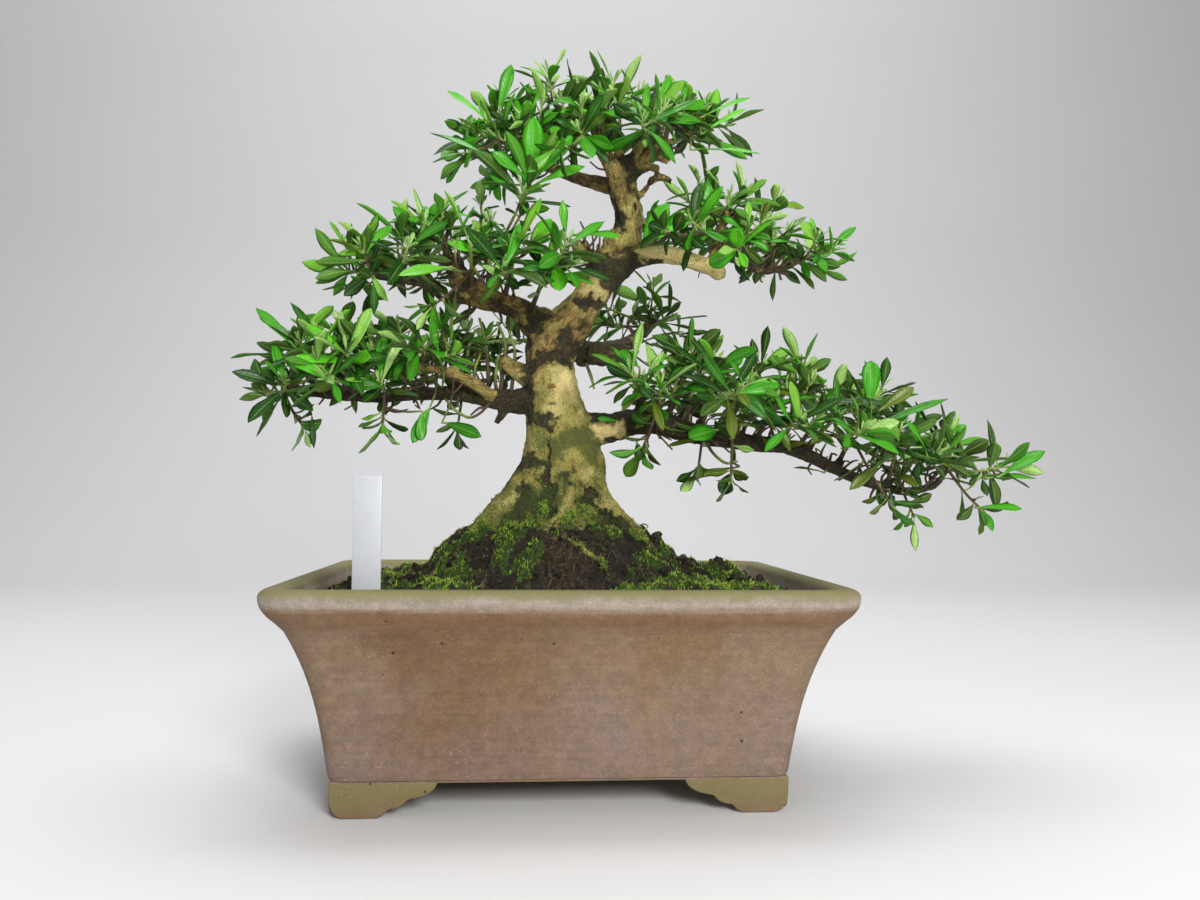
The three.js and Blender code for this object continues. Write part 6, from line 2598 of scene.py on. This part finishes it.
        # The pad's painted light and shade shifts each tone; the inner sprays stop at a deep green.
        shade = next((change for pad, change in PAINTED_LIGHT_AND_SHADE.items() if pad in self.node), 0.0)
        dullest = self.dullest_inside if self.node in INNER else 1.0
        tones = (clamp(leaf.tone + shade, self.brightest, dullest) for leaf in leaves)
        draft.add(*(BLADE.patch(replace(leaf, tone=tone)) for leaf, tone in zip(leaves, tones)))
        piece = draft.build(self.node.replace("spray", "leafy_spray"), shoot_skin, leaf_skin)
        return place_piece(piece, Slot.FOLIAGE, self.node)


def all_sprays() -> list[Spray]:
    """Every spray of the tree in the order of its pads, each with the large leaves that are nearest.

    Returns:
        The sprays.
    """
    sprays: list[Spray] = []
    for pad, rows in SPRAYS.items():
        for i, (on, at, *tips) in enumerate(rows):
            sprays.append(Spray(f"spray_{pad}_{i + 1}", SprayRow(on, at, tips), len(sprays), []))
    for lone in LONE_LEAVES:
        min(sprays, key=lambda spray: spray.nearest(lone.root)[0]).lone.append(lone)
    return sprays


# ---- label and studio


@dataclass(frozen=True)
class PlantLabel:
    """The bare white label that stands in the soil."""

    width: float = 15.0
    thickness: float = 1.2
    top: float = 178.0
    tip: float = 80.0
    point: float = 10.0
    rounding: float = 0.35
    x: float = -104.0
    y: float = -86.0

    def build(self, plastic: bpy.types.Material) -> bpy.types.Object:
        """Builds the label with softened edges.

        Args:
            plastic: Its finish.

        Returns:
            The label.
        """
        half, shoulder = self.width / 2, self.tip + self.point
        heights = (self.top, shoulder, self.tip, shoulder, self.top)
        outline = list(zip((-half, -half, 0, half, half), heights))
        depths = [self.y + side * self.thickness / 2 for side in (1, -1)]
        rings = [np.array([(self.x + a, y, z) for a, z in outline]) for y in depths]
        piece = plate("plant_label_plate", rings, self.rounding, 30)
        piece.data.materials.append(plastic)
        piece.data.shade_smooth()
        piece.data.set_sharp_from_angle(angle=math.radians(40))
        return place_piece(piece, Slot.LABEL, "plant_label")


@dataclass(frozen=True)
class Studio:
    """The pale sheet, the soft lamps and the camera."""

    eye: tuple[float, float, float] = (-20.71, -600.10, 167.60)
    yaw: float = 4.349
    pitch: float = 2.792
    roll: float = 0.475
    lens: float = 28.8
    sensor: float = 36.0

    def sheet(self, paper: bpy.types.Material) -> None:
        """Lays the sheet under the pot and up behind it.

        Args:
            paper: The sheet's material.
        """
        half, flat, radius, top, under = 6.0, 1.2, 0.9, 4.5, 0.0002
        turns = np.linspace(0.1, math.pi / 2, 14)
        bend = [(flat + radius * math.sin(turn), radius * (1 - math.cos(turn))) for turn in turns]
        profile = [(-half, 0.0), (flat, 0.0), *bend, (flat + radius, top)]
        points = [(x, y, z - under) for y, z in profile for x in (-half, half)]
        faces = [(2 * i, 2 * i + 1, 2 * i + 3, 2 * i + 2) for i in range(len(profile) - 1)]
        mesh = bpy.data.meshes.new("studio_sheet")
        mesh.from_pydata(points, [], faces)
        mesh.materials.append(paper)
        mesh.shade_smooth()
        linked("studio_sheet", mesh)

    def lamp(
        self,
        name: str,
        at: Sequence[float],
        size: float,
        power: float,
        tint: Colour = (1, 1, 1),
        aim: Sequence[float] = (0, 0, 0.22),
    ) -> None:
        """Hangs a square soft lamp.

        Args:
            name: Its name.
            at: Where it hangs, in metres.
            size: The side of its face in metres.
            power: Its power in watts.
            tint: Its colour.
            aim: The place that it faces.
        """
        data = bpy.data.lights.new(name, "AREA")
        data.size, data.energy, data.color = size, power, tint
        lamp = linked(name, data)
        lamp.location = at
        lamp.rotation_euler = (Vector(aim) - Vector(at)).to_track_quat("-Z", "Y").to_euler()

    def camera(self) -> None:
        """Sets up the camera."""
        yaw, pitch, roll = (math.radians(angle) for angle in (self.yaw, self.pitch, self.roll))
        ahead = Vector((math.sin(yaw), math.cos(yaw), 0))
        level = Vector((math.cos(yaw), -math.sin(yaw), 0))
        forward = ahead * math.cos(pitch) + Vector((0, 0, math.sin(pitch)))
        rise = level.cross(forward)
        right = level * math.cos(roll) + rise * math.sin(roll)
        up = rise * math.cos(roll) - level * math.sin(roll)
        data = bpy.data.cameras.new("view")
        data.lens, data.sensor_width = self.lens, self.sensor
        data.clip_start, data.clip_end = 0.01, 50.0
        camera = linked("view", data)
        turn = Matrix((right, up, -forward)).transposed().to_4x4()
        camera.matrix_world = Matrix.Translation(Vector(to_row(vec(*self.eye)))) @ turn
        bpy.context.scene.camera = camera

    def build(self) -> None:
        """Builds the whole studio."""
        self.camera()
        self.sheet(Paper().material())
        self.lamp("key", (0.4, -1.5, 0.75), 0.5, 27.0, (1.0, 0.99, 0.97))
        self.lamp("fill", (-1.3, -1.1, 0.8), 1.2, 3.0, (0.94, 0.97, 1.0))
        self.lamp("top", (-0.1, 0.2, 1.7), 1.2, 13.0)
        self.lamp("wall", (0.0, 0.8, 2.6), 2.2, 30.0, aim=(0, 2.1, 0.7))
        world = bpy.data.worlds.new("soft_room")
        world.use_nodes = True
        inputs = world.node_tree.nodes["Background"].inputs
        inputs["Color"].default_value, inputs["Strength"].default_value = (0.94, 0.94, 0.94, 1.0), 0.3
        bpy.context.scene.world = world
        bpy.context.scene.view_settings.view_transform = "Standard"


# ---- the whole


def main() -> None:
    """Loads the frame and builds every piece."""
    logging.basicConfig(level=logging.INFO, format="%(message)s")
    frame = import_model()

    pot = Pot()
    Studio().build()
    pot.build(Stoneware().material())
    bed = SoilBed(pot)
    bed.build(Ground().material())
    white = Plastic("label_plastic", rgb(182, 185, 191), rgb(150, 138, 112), 0.32, 112.0).material()
    PlantLabel().build(white)
    screen = Plastic("screen_plastic", rgb(34, 38, 36), rgb(70, 60, 48), 0.5, 30.0).material()
    for node in ("drain_screen_left", "drain_screen_right"):
        frame["nodes"][node].data.materials.clear()
        frame["nodes"][node].data.materials.append(screen)

    sprays = all_sprays()
    wood = Wood(Trunk())
    seats = wood.build([spray.stub_patch() for spray in sprays], Bark().material())
    bed.moss(seats, Moss().material())
    shoot_skin, leaf_skin = ShootSkin().material(), LeafSkin().material()
    wood.spurs(shoot_skin)
    for spray in sprays:
        spray.build(shoot_skin, leaf_skin)


if __name__ == "__main__":
    main()
